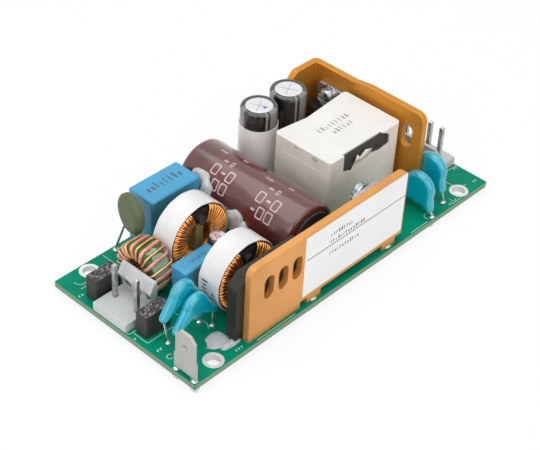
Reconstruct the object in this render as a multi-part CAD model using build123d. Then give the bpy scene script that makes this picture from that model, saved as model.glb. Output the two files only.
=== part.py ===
from build123d import *
from math import cos, radians, sin
import os

# Open frame power supply, mains in and low voltage out, on one long circuit board.
# X runs from the mains input end to the output end, Y from the front edge, where the
# front heatsink stands, to the back edge, and Z up. The origin lies under the middle of
# the board, at the height of the trimmed leads on which the supply rests.
# All sizes are in millimetres. Each row of parts follows the row before it along the
# board, and the board's length and width are the sum of what stands on it.

# Board
board_thickness = 1.6
board_corner = 0.4
mount_hole = 3.7
mount_inset_end = 9.1
mount_inset_side = 3.0
solder_height = 1.8
solder_spread = 0.55
solder_tip = 0.15
drill_clearance = 0.08
edge_gap = 0.15

# Legs and wires
leg = 0.8
thin_leg = 0.6
pin = 1.14
pin_point = 0.35
flat_leg = 1.0
flat_leg_thickness = 0.6
wire_bend = 0.9
wire_sides = 6

# Flats on round bodies
large_round = 3.9
large_round_sides = 32
small_round_sides = 16

# Pin headers at both ends
header_depth = 10.7
header_base = 2.6
header_way = 3.96
header_wall = 0.9
header_wall_top = 10.2
header_nose_top = 7.3
header_nose_reach = 2.6
header_nose_foot = 4.2
header_ramp = 1.6
header_pin_inset = 5.7
header_window = 2.2
header_window_sill = 0.6
header_window_head = 0.5
header_window_margin = 1.0
input_ways = 3
output_ways = 4
input_pin_top = 12.9
output_pin_top = 14.6

# Box fuses beside the input header
fuse_length = 8.4
fuse_width = 4.1
fuse_height = 6.9
fuse_edge = 0.35
fuse_pitch = 5.08
fuse_end_gap = 2.2
fuse_back_gap = 9.4
fuse_header_gap = 1.1

# Earth tab on the front input corner
tab_thickness = 0.8
tab_blade = 6.5
tab_base = 7.4
tab_shoulder = 5.9
tab_shoulder_slope = 0.8
tab_top = 13.3
tab_chamfer = 1.6
tab_hole = 1.5
tab_hole_drop = 4.4
tab_leg = 1.3
tab_inset = 1.15
tab_side_gap = 0.6
tab_arch = 0.7

# Disc capacitors, two at each end
disc_edge = 0.8
disc_root_share = 0.66
disc_root_shift = 1.2
disc_pitch = 10.6
input_disc_radius = 3.8
input_disc_thickness = 2.7
input_disc_leg_spread = 6.1
input_disc_leg_radius = 1.1
input_disc_leg_drop = 4.7
input_disc_back_centre = 13.3
input_disc_front_centre = 10.3
input_disc_end_gap = 10.0
input_disc_stagger = 1.4
input_disc_fuse_gap = 2.75
input_disc_gap = 0.3
input_disc_pitch_shift = 0.8
output_disc_radius = 5.0
output_disc_thickness = 3.0
output_disc_leg_spread = 4.5
output_disc_leg_radius = 0.9
output_disc_leg_drop = 5.2
output_disc_front_centre = 7.1
output_disc_back_centre = 8.7
output_disc_front_edge_gap = 1.4
output_disc_back_edge_gap = 3.3
output_disc_front_clearance = 2.1
output_disc_back_clearance = 0.3

# Thermistor
thermistor_radius = 5.5
thermistor_thickness = 3.0
thermistor_edge = 0.8
thermistor_centre = 15.5
thermistor_back_gap = 7.4
thermistor_turn = 15.0
thermistor_pitch = 7.5
thermistor_lean = 2.45
thermistor_leg_spread = 2.6
thermistor_leg_depth = 0.8
thermistor_from_end = 19.75

# Small two wire choke
small_choke_gap = 0.3
small_choke_width = 8.0
small_choke_radius = 7.4
small_choke_bore = 3.0
small_choke_wire = 0.85
small_choke_back_gap = 10.1
small_choke_turns = 8
small_choke_seat = 0.2
small_choke_corner = 0.34

# Box capacitors
box_gap = 6.05
box_length = 17.0
box_width = 9.3
box_height = 16.8
box_edge = 0.5
box_pitch = 15.0
small_box_length = 12.6
small_box_width = 5.4
small_box_height = 11.9
small_box_pitch = 10.0
small_box_choke_gap = 0.25
small_box_choke_overlap = 2.7
box_stand = 0.3
box_back_gap = 0.1

# Large chokes: cased ring, two windings, a divider and a tape band
choke_case_radius = 8.6
choke_case_bore = 4.7
choke_case_width = 6.8
choke_wire = 1.1
choke_groove = 0.35
choke_valley = 0.16
choke_turns = 8
choke_fit = 0.02
choke_gap_angle = 38.0
choke_band = 0.3
choke_band_width = 6.8
choke_band_sides = 14
choke_divider = 2.4
choke_knob = 1.3
choke_knob_reach = 1.1
choke_seat = 0.7
choke_leg_pitch = 8.0
choke_bulk_gap = 2.2
front_choke_shift = 2.05
back_choke_back_gap = 13.65
front_choke_bridge_gap = 2.9

# Bulk capacitor, which lies across the board
bulk_gap = 0.1
bulk_diameter = 18.0
bulk_length = 40.0
bulk_sleeve = 0.25
bulk_end_round = 1.0
bulk_seat = 0.8
bulk_pitch = 7.5
bulk_pin_reach = 2.2
bulk_bead = 0.6
bulk_front_gap = 6.91

# Heatsinks, both bent or cut from one sheet
sheet = 2.0
sheet_edge_gap = 1.14
front_sink_height = 23.0
front_sink_start = 19.15
front_sink_length = 58.2
front_sink_corner = 2.4
front_sink_raise = 1.9
front_sink_full_depth = 18.6
front_sink_notch = 2.5
front_sink_foot = 5.2
slot_width = 3.4
slot_height = 7.0
slot_pitch = 5.0
slot_count = 3
slot_from_end = 6.6
slot_below_top = 5.1
rear_slot_from_end = 4.9
rear_sink_height = 26.3
rear_sink_step = 0.8
rear_sink_step_from_back = 15.6
rear_sink_step_run = 5.0
rear_sink_corner = 2.6
rear_sink_front_gap = 10.4
rear_sink_flange = 11.9
rear_sink_chamfer = 2.0
rear_sink_gap = 1.4
sink_leg = 3.0
rear_sink_front_leg = 6.0
rear_sink_back_leg = 9.0

# Label on the front heatsink
label_thickness = 0.12
label_length = 38.5
label_height = 19.0
label_below_top = 0.8
label_end_gap = 0.6

# Bridge rectifier on the inner side of the front heatsink
bridge_length = 22.3
bridge_height = 19.0
bridge_thickness = 3.6
bridge_chamfer = 3.0
bridge_stand = 1.0
bridge_overhang = 2.5
bridge_pitch = 5.08
bridge_legs = 4
bridge_edge = 0.4

# Power transistor and output rectifier, screwed to the heatsinks
device_width = 10.2
device_height = 15.8
device_thickness = 4.5
device_body = 9.2
device_tab = 1.3
device_tab_corner = 1.0
device_edge = 0.4
device_pitch = 2.54
device_hole = 3.7
device_hole_drop = 2.8
device_leg = 0.8
device_gap = 0.05
transistor_stand = 6.9
transistor_bulk_gap = 3.35
rectifier_stand = 5.1
rectifier_back_gap = 1.7
screw = 3.0
screw_clearance = 0.1
screw_head = 5.6
screw_head_height = 2.2
screw_head_round = 0.6
screw_reach = 1.9
screw_slot = 0.9
screw_slot_depth = 0.9
washer = 7.0
washer_thickness = 0.5

# Upright output capacitors
cap_diameter = 10.0
cap_height = 25.0
cap_sleeve = 0.15
cap_lip = 0.9
cap_tape = 0.25
cap_tape_top = 19.8
cap_second_tape_top = 14.0
cap_tape_foot = 1.2
cap_pitch = 5.0
cap_gap = 2.25
cap_spacing = 11.5
cap_back_gap = 0.35
cap_edge = 0.5

# Transformer
transformer_gap = 4.1
transformer_length = 28.5
transformer_width = 19.9
transformer_top = 22.4
transformer_back_gap = 3.55
tape = 0.5
tape_foot = 3.6
tape_corner = 1.2
tape_waist = 1.5
tape_waist_shift = 2.85
window_start = 5.5
window_length = 18.9
window_drop = 6.5
window_on_top = 0.9
window_outline = (
    (0, 0.8),
    (0.2, 1),
    (0.3, 0.63),
    (0.5, 0.68),
    (0.8, 0.86),
    (1, 0.77),
    (0.98, 0.28),
    (0.8, 0),
)
core_plate = 4.0
core_post = 5.6
core_leg = 4.4
bobbin_wall = 1.2
bobbin_foot = 2.6
bobbin_pin = 0.8
bobbin_pins = 4
bobbin_pin_pitch = 5.08
winding_gap = 0.3

# Output header row and the far end of the board
output_row_gap = 7.15
output_header_front_gap = 11.5

# Small upright capacitor between the chokes
small_cap_diameter = 5.0
small_cap_height = 12.8
small_cap_pitch = 2.0
small_cap_bulk_gap = 7.95
small_cap_front_gap = 24.65

# Heights
board_bottom = solder_height
board_top = board_bottom + board_thickness

# Places along the board, first counted from the input end
header_from_end = edge_gap
small_choke_from_end = header_from_end + header_depth + small_choke_gap
box_from_end = small_choke_from_end + small_choke_width + box_gap
bulk_from_end = box_from_end + box_length + bulk_gap
row_behind_bulk = bulk_from_end + bulk_diameter
transformer_from_end = row_behind_bulk + transformer_gap
rear_sink_from_end = transformer_from_end + transformer_length + rear_sink_gap
output_header_from_end = rear_sink_from_end + sheet + output_row_gap
board_length = output_header_from_end + header_depth + edge_gap
input_end = -board_length / 2
output_end = board_length / 2

transistor_x = input_end + row_behind_bulk + transistor_bulk_gap

# Places across the board
board_width = edge_gap + bulk_length + bulk_bead + bulk_front_gap + sheet + sheet_edge_gap
front_edge = -board_width / 2
back_edge = board_width / 2
sink_inner_face = front_edge + sheet_edge_gap + sheet
fuse_back = back_edge - fuse_back_gap
rectifier_y = back_edge - edge_gap - sheet - rectifier_back_gap - device_width / 2

# Flats of the cased ring's bore, which the windings and the divider lie against
case_bore_flat = choke_case_bore * cos(radians(180 / large_round_sides))

legs = []
nodes = {}


def keep(name, *shapes):
    """Store the solids of one node under its name."""
    solids = [solid for shape in shapes for solid in shape.solids()]
    nodes[name] = Compound(solids)


def block(x0, x1, y0, y1, z0, z1):
    """A box between six faces."""
    return Pos((x0 + x1) / 2, (y0 + y1) / 2, (z0 + z1) / 2) * Box(x1 - x0, y1 - y0, z1 - z0)


def slab_along_x(points, x0, x1):
    """A plate between two X faces, its outline given as (Y, Z) points."""
    outline = make_face(Polyline(*[(x0, y, z) for y, z in points], close=True))
    return extrude(outline, x1 - x0, dir=(1, 0, 0))


def slab_along_y(points, y0, y1):
    """A plate between two Y faces, its outline given as (X, Z) points."""
    outline = make_face(Polyline(*[(x, y0, z) for x, z in points], close=True))
    return extrude(outline, y1 - y0, dir=(0, 1, 0))


def bore(radius, height, x, y, z):
    """A true cylinder on a point, for a drilled hole."""
    return Pos(x, y, z + height / 2) * Cylinder(radius, height)


def bore_along_y(radius, y0, y1, x, z):
    """A true cylinder across the board, for a drilled hole."""
    return Pos(x, (y0 + y1) / 2, z) * Rot(X=90) * Cylinder(radius, y1 - y0)


def bore_along_x(radius, x0, x1, y, z):
    """A true cylinder along the board, for a drilled hole."""
    return Pos((x0 + x1) / 2, y, z) * Rot(Y=90) * Cylinder(radius, x1 - x0)


def round_section(radius):
    """The section of a round body, with enough flats for its size."""
    return RegularPolygon(radius, large_round_sides if radius > large_round else small_round_sides)


def tube(radius, height, x, y, z):
    """An upright round body on a point."""
    return Pos(x, y, z) * extrude(round_section(radius), height)


def round_along_y(radius, y0, y1, x, z):
    """A round body whose axis runs across the board."""
    return Pos(x, y1, z) * Rot(X=90) * extrude(round_section(radius), y1 - y0)


def round_along_x(radius, x0, x1, y, z):
    """A round body whose axis runs along the board."""
    return Pos(x0, y, z) * Rot(Y=90) * extrude(round_section(radius), x1 - x0)


def wire_section(diameter):
    """The section of a wire leg, with few sides."""
    return RegularPolygon(diameter / 2, wire_sides, rotation=180 / wire_sides)


def round_leg(x, y, top, diameter=leg):
    """A wire leg from a height down through the board, where it is soldered."""
    legs.append((x, y, diameter, diameter, True))
    return Pos(x, y, board_bottom) * extrude(wire_section(diameter), top - board_bottom)


def bent_leg(points, diameter=leg):
    """A wire leg along straight runs with cut corners, the last run down through the board."""
    route = [Vector(*points[0])]
    for before, corner, after in zip(points, points[1:], points[2:]):
        corner = Vector(*corner)
        route.append(corner + (Vector(*before) - corner).normalized() * wire_bend)
        route.append(corner + (Vector(*after) - corner).normalized() * wire_bend)
    route.append(Vector(*points[-1]))
    path = Polyline(*route)
    section = Plane(origin=path @ 0, z_dir=path % 0) * wire_section(diameter)
    legs.append((points[-1][0], points[-1][1], diameter, diameter, True))
    return sweep(section, path, transition=Transition.RIGHT)


def square_leg(x, y, top, size_x, size_y):
    """A flat or square leg from a height down through the board."""
    legs.append((x, y, size_x, size_y, False))
    return block(x - size_x / 2, x + size_x / 2, y - size_y / 2, y + size_y / 2, board_bottom, top)


def slanted_leg(x_top, y_top, z_top, x, y, diameter=leg):
    """A wire leg that splays from a body to its hole in the board."""
    knee = board_top + diameter
    path = Polyline((x_top, y_top, z_top), (x, y, knee), (x, y, board_bottom))
    legs.append((x, y, diameter, diameter, True))
    section = Plane(origin=path @ 0, z_dir=path % 0) * wire_section(diameter)
    return sweep(section, path, transition=Transition.RIGHT)


def header(ways, middle_y, end, direction, pin_top, skipped=()):
    """A pin header with a friction lock; direction points from the pins to the board's end."""
    half = ways * header_way / 2

    def x(distance):
        return end - direction * distance

    profile = (
        (x(0), board_top),
        (x(0), board_top + header_base),
        (x(header_depth - header_wall), board_top + header_nose_foot - header_ramp),
        (x(header_depth - header_wall), board_top + header_nose_foot),
        (x(header_depth - header_nose_reach), board_top + header_nose_top),
        (x(header_depth - header_wall), board_top + header_wall_top),
        (x(header_depth), board_top + header_wall_top),
        (x(header_depth), board_top),
    )
    body = slab_along_y(profile, middle_y - half, middle_y + half)
    pins = []
    pin_x = end - direction * header_pin_inset
    for way in range(ways):
        y = middle_y + half - (way + 0.5) * header_way
        outer = header_depth + header_window_margin
        inner = header_depth - header_nose_reach - header_window_margin
        near, far = sorted((x(outer), x(inner)))
        sill = board_top + header_base + header_window_sill
        head = board_top + header_nose_top - header_window_head
        body -= block(near, far, y - header_window / 2, y + header_window / 2, sill, head)
        if way in skipped:
            continue
        top = board_top + pin_top
        post = square_leg(pin_x, y, top, pin, pin)
        post = chamfer(post.faces().sort_by(Axis.Z)[-1].edges(), pin_point)
        pins.append(post)
        body -= block(pin_x - pin / 2, pin_x + pin / 2, y - pin / 2, y + pin / 2, board_top, top)
    return body, pins


def make_headers():
    """Input and output pin headers."""
    middle = fuse_back - fuse_width - fuse_header_gap - input_ways * header_way / 2
    body, pins = header(input_ways, middle, input_end + edge_gap, -1, input_pin_top, skipped=(1,))
    keep("input_connector_housing", body)
    keep("input_connector_pins", *pins)
    middle = front_edge + output_header_front_gap + output_ways * header_way / 2
    body, pins = header(output_ways, middle, output_end - edge_gap, 1, output_pin_top)
    keep("output_connector_housing", body)
    keep("output_connector_pins", *pins)


def make_fuses():
    """The two box fuses, one on each side of the input header."""
    x0 = input_end + edge_gap + fuse_end_gap
    neutral_back = fuse_back - fuse_width - 2 * fuse_header_gap - input_ways * header_way
    for name, back in (("line_fuse", fuse_back), ("neutral_fuse", neutral_back)):
        y = back - fuse_width / 2
        body = block(x0, x0 + fuse_length, back - fuse_width, back, board_top, board_top + fuse_height)
        body = chamfer(body.edges().filter_by(Axis.Z), fuse_edge)
        body = chamfer(body.faces().sort_by(Axis.Z)[-1].edges(), fuse_edge)
        middle = x0 + fuse_length / 2
        wires = [round_leg(middle + s * fuse_pitch / 2, y, board_top, thin_leg) for s in (-1, 1)]
        keep(name, body, *wires)


def make_earth_tab():
    """The flat push-on blade for the earth lead, with a wider foot and two soldered legs."""
    x = input_end + tab_inset
    y = front_edge + tab_side_gap + tab_base / 2
    half, foot = tab_blade / 2, tab_base / 2
    top = board_top + tab_top
    shoulder = board_top + tab_shoulder
    outline = (
        (y - foot, board_top),
        (y - foot, shoulder - tab_shoulder_slope),
        (y - half, shoulder),
        (y - half, top - tab_chamfer),
        (y - half + tab_chamfer, top),
        (y + half - tab_chamfer, top),
        (y + half, top - tab_chamfer),
        (y + half, shoulder),
        (y + foot, shoulder - tab_shoulder_slope),
        (y + foot, board_top),
        (y + foot - tab_leg, board_top),
        (y + foot - tab_leg - tab_arch, board_top + tab_arch),
        (y - foot + tab_leg + tab_arch, board_top + tab_arch),
        (y - foot + tab_leg, board_top),
    )
    plate = slab_along_x(outline, x - tab_thickness / 2, x + tab_thickness / 2)
    plate -= bore_along_x(tab_hole / 2, x - tab_thickness, x + tab_thickness, y, top - tab_hole_drop)
    for side in (-1, 1):
        plate += square_leg(x, y + side * (foot - tab_leg / 2), board_top, tab_thickness, tab_leg)
    keep("earth_tab", plate)


def disc_outline(radius, centre, spread, drop, tip_radius):
    """Outline of a dipped disc capacitor: a round head and two legs coated down to their ends."""
    shape = Pos(0, centre) * round_section(radius)
    for side in (-1, 1):
        root = Pos(side * disc_root_shift, centre) * round_section(radius * disc_root_share)
        tip = Pos(side * spread, centre - drop) * round_section(tip_radius)
        shape += make_hull(root.edges() + tip.edges())
    return shape


def disc_capacitor(x, y, outline, thickness, spread, low, across, shift=0.0):
    """A disc capacitor in a plane along the board, or across it, with its two legs."""
    body = extrude(outline, thickness / 2, both=True)
    flat = [edge for face in body.faces().filter_by(Axis.Z) for edge in face.edges()]
    body = chamfer(flat, disc_edge)
    turn = Rot(X=90)
    if across:
        turn = Rot(Z=90) * turn
    body = Pos(x, y, board_top) * turn * body
    wires = []
    for side in (-1, 1):
        reach, foot = side * spread, side * disc_pitch / 2 + shift
        if across:
            wire = slanted_leg(x, y + reach, board_top + low, x, y + foot, thin_leg)
        else:
            wire = slanted_leg(x + reach, y, board_top + low, x + foot, y, thin_leg)
        wires.append(wire - body)
    return [body] + wires


def make_input_discs():
    """Two disc capacitors side by side next to the neutral fuse."""
    x = input_end + edge_gap + input_disc_end_gap
    y = fuse_back - 2 * fuse_width - 2 * fuse_header_gap - input_ways * header_way
    y -= input_disc_fuse_gap + input_disc_thickness / 2
    front_y = y - input_disc_thickness - input_disc_gap
    for name, centre, place_x, place_y in (
        ("back", input_disc_back_centre, x, y),
        ("front", input_disc_front_centre, x + input_disc_stagger, front_y),
    ):
        outline = disc_outline(
            input_disc_radius, centre, input_disc_leg_spread, input_disc_leg_drop, input_disc_leg_radius
        )
        low = centre - input_disc_leg_drop
        pieces = disc_capacitor(
            place_x,
            place_y,
            outline,
            input_disc_thickness,
            input_disc_leg_spread,
            low,
            False,
            input_disc_pitch_shift,
        )
        keep("input_disc_capacitor_" + name, *pieces)


def make_output_discs():
    """Two disc capacitors behind each other, one on each side of the rear plate's front end."""
    plate = input_end + rear_sink_from_end
    before = plate - output_disc_front_clearance - output_disc_thickness / 2
    behind = plate + sheet + output_disc_back_clearance + output_disc_thickness / 2
    for name, centre, x, gap in (
        ("front", output_disc_front_centre, before, output_disc_front_edge_gap),
        ("back", output_disc_back_centre, behind, output_disc_back_edge_gap),
    ):
        y = front_edge + gap + output_disc_radius
        outline = disc_outline(
            output_disc_radius, centre, output_disc_leg_spread, output_disc_leg_drop, output_disc_leg_radius
        )
        low = centre - output_disc_leg_drop
        pieces = disc_capacitor(x, y, outline, output_disc_thickness, output_disc_leg_spread, low, True)
        keep("output_disc_capacitor_" + name, *pieces)


def make_thermistor():
    """The olive disc that limits the inrush current, high on two splayed legs."""
    x = input_end + thermistor_from_end
    y = back_edge - thermistor_back_gap
    z = board_top + thermistor_centre
    half = thermistor_thickness / 2
    body = round_along_x(thermistor_radius, -half, half, 0, 0)
    faces = body.faces().sort_by(Axis.X)
    body = chamfer(faces[0].edges() + faces[-1].edges(), thermistor_edge)
    body = Pos(x, y, z) * Rot(Z=-thermistor_turn) * body
    drop = (thermistor_radius**2 - thermistor_leg_spread**2) ** 0.5 * thermistor_leg_depth
    wires = []
    for side in (-1, 1):
        across = side * thermistor_leg_spread * cos(radians(thermistor_turn))
        along = side * thermistor_leg_spread * sin(radians(thermistor_turn))
        foot = y + thermistor_lean + side * thermistor_pitch / 2
        wire = slanted_leg(x + along, y + across, z - drop, x, foot, thin_leg)
        wires.append(wire - body)
    keep("thermistor", body, *wires)


def ring_along_y(outer, inner, y0, y1, x, z):
    """A plain ring whose axis runs across the board."""
    return round_along_y(outer, y0, y1, x, z) - round_along_y(inner, y0, y1, x, z)


def make_small_choke():
    """The two wire choke behind the input header: a coated ring with well spaced turns."""
    wire = small_choke_wire
    x0 = input_end + small_choke_from_end
    x1 = x0 + small_choke_width
    y = back_edge - small_choke_back_gap - small_choke_radius
    z = board_top + small_choke_seat + small_choke_radius
    core_outer = small_choke_radius - wire
    core_inner = small_choke_bore + wire
    core = round_along_x(core_outer, x0 + wire, x1 - wire, y, z)
    core -= round_along_x(core_inner, x0 + wire, x1 - wire, y, z)
    keep("small_choke_core", core)
    step = 360 / (2 * small_choke_turns)
    height = small_choke_radius - small_choke_bore
    loop = Box(small_choke_width, wire, height)
    loop = chamfer(loop.edges().filter_by(Axis.Y), small_choke_corner)
    loop -= Box(small_choke_width - 2 * wire, wire, height - 2 * wire)
    for name, first in (("small_choke_winding_a", 0), ("small_choke_winding_b", 1)):
        turns = []
        for index in range(first, 2 * small_choke_turns, 2):
            place = Pos((x0 + x1) / 2, y, z) * Rot(X=(index + 0.5) * step)
            turns.append(place * Pos(0, 0, small_choke_bore + height / 2) * loop - core)
        half_step = radians(step / 2)
        low = z - (small_choke_radius - wire) * cos(half_step)
        leg_y = y + (1 - 2 * first) * (small_choke_radius - wire / 2) * sin(half_step)
        for side in (-1, 1):
            leg_x = (x0 + x1) / 2 + side * (small_choke_width / 2 - wire)
            turns.append(round_leg(leg_x, leg_y, low, thin_leg) - core)
        keep(name, turns[0] + turns[1:])


def sector(low, high, angles, half_width):
    """A slice of a ring round the Z axis, its faces flat between the angles."""
    inner = [(low * cos(radians(angle)), low * sin(radians(angle))) for angle in angles]
    outer = [(high * cos(radians(angle)), high * sin(radians(angle))) for angle in reversed(angles)]
    return extrude(make_face(Polyline(*inner, *outer, close=True)), half_width, both=True)


def winding(x, y, z, start, end, leg_side):
    """One winding of a large choke: turns side by side round the cased ring, with two legs."""
    outer = choke_case_radius + choke_wire
    inner = choke_case_bore - choke_wire
    half = choke_case_width / 2 + choke_wire
    step = (end - start) / choke_turns
    margin = step * choke_valley
    marks = [start + turn * step for turn in range(choke_turns + 1)]
    bed = sector(inner + choke_groove, outer - choke_groove, marks, half - choke_groove)
    ridges = [sector(inner, outer, (mark + margin, mark + step - margin), half) for mark in marks[:-1]]
    half_turn = cos(radians(step / 2))
    case_outer = (choke_case_radius + choke_fit) / half_turn
    hollow = sector(case_bore_flat - choke_fit, case_outer, marks, choke_case_width / 2)
    body = Pos(x, y, z) * Rot(X=90) * (bed + ridges - hollow)
    leg_x = x + leg_side * choke_leg_pitch / 2
    for side in (-1, 1):
        body += round_leg(leg_x, y + side * (half - leg / 2), z - choke_case_radius, leg)
    return body


def make_large_chokes():
    """The two common mode chokes, the front one a little nearer the input end."""
    half = choke_case_width / 2 + choke_wire
    outer = choke_case_radius + choke_wire + choke_band
    back_x = input_end + bulk_from_end - choke_bulk_gap - outer
    front_y = sink_inner_face + bridge_thickness + front_choke_bridge_gap + half
    make_large_choke("back_choke", back_x, back_edge - back_choke_back_gap - half)
    make_large_choke("front_choke", back_x - front_choke_shift, front_y)


def make_large_choke(prefix, x, y):
    """A common mode choke that stands on edge, its axis across the board."""
    outer = choke_case_radius + choke_wire
    z = board_top + choke_seat + outer
    half = choke_case_width / 2
    case = ring_along_y(choke_case_radius, choke_case_bore, y - half, y + half, x, z)
    knob_z = z + choke_case_bore + choke_knob
    case += round_along_y(choke_knob, y - half - choke_knob_reach, y - half, x, knob_z)
    keep(prefix + "_case", case)
    gap = choke_gap_angle / 2
    keep(prefix + "_winding_left", winding(x, y, z, 90 + gap, 270 - gap, -1))
    keep(prefix + "_winding_right", winding(x, y, z, -90 + gap, 90 - gap, 1))
    reach = (case_bore_flat**2 - (choke_divider / 2) ** 2) ** 0.5
    divider = block(x - choke_divider / 2, x + choke_divider / 2, y - half, y + half, z - reach, z + reach)
    keep(prefix + "_divider", divider)
    flat = outer / cos(radians(180 / choke_band_sides))
    turn = 180 / choke_band_sides
    wall = RegularPolygon(flat + choke_band, choke_band_sides, rotation=turn)
    wall -= RegularPolygon(flat, choke_band_sides, rotation=turn)
    band = Pos(x, y, z) * Rot(X=90) * extrude(wall, choke_band_width / 2, both=True)
    keep(prefix + "_band", band)


def box_capacitor(x, y, length, width, height, pitch):
    """A moulded box capacitor on two wire legs."""
    low = board_top
    body = block(x - length / 2, x + length / 2, y - width / 2, y + width / 2, low, low + height)
    body = chamfer(body.edges().filter_by(Axis.Z), box_edge)
    body = chamfer(body.faces().sort_by(Axis.Z)[-1].edges(), box_edge)
    body -= block(
        x - length / 2 + 2 * box_edge,
        x + length / 2 - 2 * box_edge,
        y - width / 2 + 2 * box_edge,
        y + width / 2 - 2 * box_edge,
        low,
        low + box_stand,
    )
    wires = [round_leg(x + side * pitch / 2, y, low + box_stand, leg) for side in (-1, 1)]
    return [body] + [wire - body for wire in wires]


def make_box_capacitors():
    """The large and the small mains filter capacitor."""
    x = input_end + box_from_end + box_length / 2
    y = back_edge - box_width / 2 - box_back_gap
    keep("large_box_capacitor", *box_capacitor(x, y, box_length, box_width, box_height, box_pitch))
    choke_end = input_end + small_choke_from_end + small_choke_width
    x = choke_end - small_box_choke_overlap + small_box_length / 2
    choke_front = back_edge - small_choke_back_gap - 2 * small_choke_radius
    y = choke_front - small_box_choke_gap - small_box_width / 2
    pieces = box_capacitor(x, y, small_box_length, small_box_width, small_box_height, small_box_pitch)
    keep("small_box_capacitor", *pieces)


def make_bulk_capacitor():
    """The large electrolytic that lies across the board, sleeved, with its bung at the front."""
    radius = bulk_diameter / 2
    x = input_end + bulk_from_end + radius
    z = board_top + bulk_seat + radius
    far = back_edge - edge_gap
    near = far - bulk_length
    inner = radius - bulk_sleeve
    can = round_along_y(inner, near + bulk_sleeve, far - bulk_sleeve, x, z)
    faces = can.faces().sort_by(Axis.Y)
    can = chamfer(faces[0].edges() + faces[-1].edges(), bulk_end_round)
    keep("bulk_capacitor_can", can)
    sleeve = round_along_y(radius, near, far, x, z)
    faces = sleeve.faces().sort_by(Axis.Y)
    sleeve = chamfer(faces[0].edges() + faces[-1].edges(), bulk_end_round)
    mouth = inner - bulk_end_round
    sleeve -= can
    sleeve -= round_along_y(mouth, near, near + bulk_sleeve, x, z)
    keep("bulk_capacitor_sleeve", sleeve)
    bung = round_along_y(mouth - bulk_bead, near - bulk_bead, near + bulk_sleeve, x, z)
    keep("bulk_capacitor_bung", bung)
    wires = []
    front = near - bulk_bead
    for side in (-1, 1):
        leg_x = x + side * bulk_pitch / 2
        leg_y = front - bulk_pin_reach
        wires.append(bent_leg(((leg_x, front, z), (leg_x, leg_y, z), (leg_x, leg_y, board_bottom))))
    keep("bulk_capacitor_legs", *wires)


def slot_cutter(centre_z):
    """A vertical slot with round ends, along Y, in a sheet face at Y = 0."""
    straight = (slot_height - slot_width) / 2
    end = RegularPolygon(slot_width / 2, small_round_sides)
    shape = make_hull((Pos(0, straight) * end).edges() + (Pos(0, -straight) * end).edges())
    return Pos(0, 0, centre_z) * Rot(X=90) * extrude(shape, 2 * sheet, both=True)


def make_front_heatsink():
    """The flat plate along the front edge, notched at its foot and slotted near the input."""
    x0 = input_end + front_sink_start
    x1 = x0 + front_sink_length
    top = board_top + front_sink_height
    raised = board_top + front_sink_raise
    foot1 = x0 + front_sink_full_depth + front_sink_notch
    foot2 = x0 + front_sink_length - front_sink_notch - front_sink_foot
    outline = (
        (x0, board_top),
        (x0, top),
        (x1, top),
        (x1, raised),
        (foot2 + front_sink_foot, raised),
        (foot2 + front_sink_foot, board_top),
        (foot2, board_top),
        (foot2, raised),
        (foot1 + front_sink_foot, raised),
        (foot1 + front_sink_foot, board_top),
        (foot1, board_top),
        (foot1, raised),
        (x0 + front_sink_full_depth, raised),
        (x0 + front_sink_full_depth, board_top),
    )
    plate = slab_along_y(outline, sink_inner_face - sheet, sink_inner_face)
    corners = plate.edges().filter_by(Axis.Y).group_by(Axis.Z)[-1]
    plate = fillet(corners, front_sink_corner)
    middle = top - slot_below_top - slot_height / 2
    for index in range(slot_count):
        x = x0 + slot_from_end + index * slot_pitch
        plate -= Pos(x, sink_inner_face, 0) * slot_cutter(middle)
    y = sink_inner_face - sheet / 2
    for x in (foot1 + front_sink_foot / 2, foot2 + front_sink_foot / 2):
        plate += square_leg(x, y, board_top, sink_leg, sheet)
    radius = screw / 2 + screw_clearance
    hole_z = screw_height(transistor_stand)
    plate -= bore_along_y(radius, y - sheet, y + sheet, transistor_x, hole_z)
    keep("front_heatsink", plate)
    outer_face = sink_inner_face - sheet
    label_x1 = x1 - label_end_gap
    label_top = top - label_below_top
    label_x0 = label_x1 - label_length
    label_z0 = label_top - label_height
    label = block(label_x0, label_x1, outer_face - label_thickness, outer_face, label_z0, label_top)
    keep("front_label", label)


def make_rear_heatsink():
    """The plate across the board, with its back end bent round towards the input."""
    x0 = input_end + rear_sink_from_end
    x1 = x0 + sheet
    y0 = front_edge + rear_sink_front_gap
    y1 = back_edge - edge_gap
    high = board_top + rear_sink_height
    low = high - rear_sink_step
    step_end = y1 - rear_sink_step_from_back
    tip = x1 - rear_sink_flange
    inner = y1 - sheet
    corners = ((x0, y0), (x1, y0), (x1, y1), (tip, y1), (tip, inner), (x0, inner))
    plan = make_face(Polyline(*corners, close=True))
    bend = plan.vertices().group_by(Axis.Y)[-1].sort_by(Axis.X)[-1]
    plan = fillet(bend, sheet)
    body = Pos(0, 0, board_top) * extrude(plan, rear_sink_height)
    lowered = ((step_end - rear_sink_step_run, high), (step_end, low), (y1, low), (y1, high))
    body -= slab_along_x(lowered, tip, x1)
    corner = body.edges().filter_by(Axis.X).group_by(Axis.Z)[-1].sort_by(Axis.Y)[0]
    body = fillet(corner, rear_sink_corner)
    corner = body.edges().filter_by(Axis.Y).group_by(Axis.X)[0].sort_by(Axis.Z)[-1]
    body = chamfer(corner, rear_sink_chamfer)
    middle = high - slot_below_top - slot_height / 2
    for index in range(slot_count):
        y = y0 + rear_slot_from_end + index * slot_pitch
        body -= Pos(x0, y, 0) * Rot(Z=90) * slot_cutter(middle)
    for y in (y0 + rear_sink_front_leg, y1 - rear_sink_back_leg):
        body += square_leg(x0 + sheet / 2, y, board_top, sheet, sink_leg)
    radius = screw / 2 + screw_clearance
    body -= bore_along_x(radius, x0 - sheet, x1 + sheet, rectifier_y, screw_height(rectifier_stand))
    keep("rear_heatsink", body)


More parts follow.
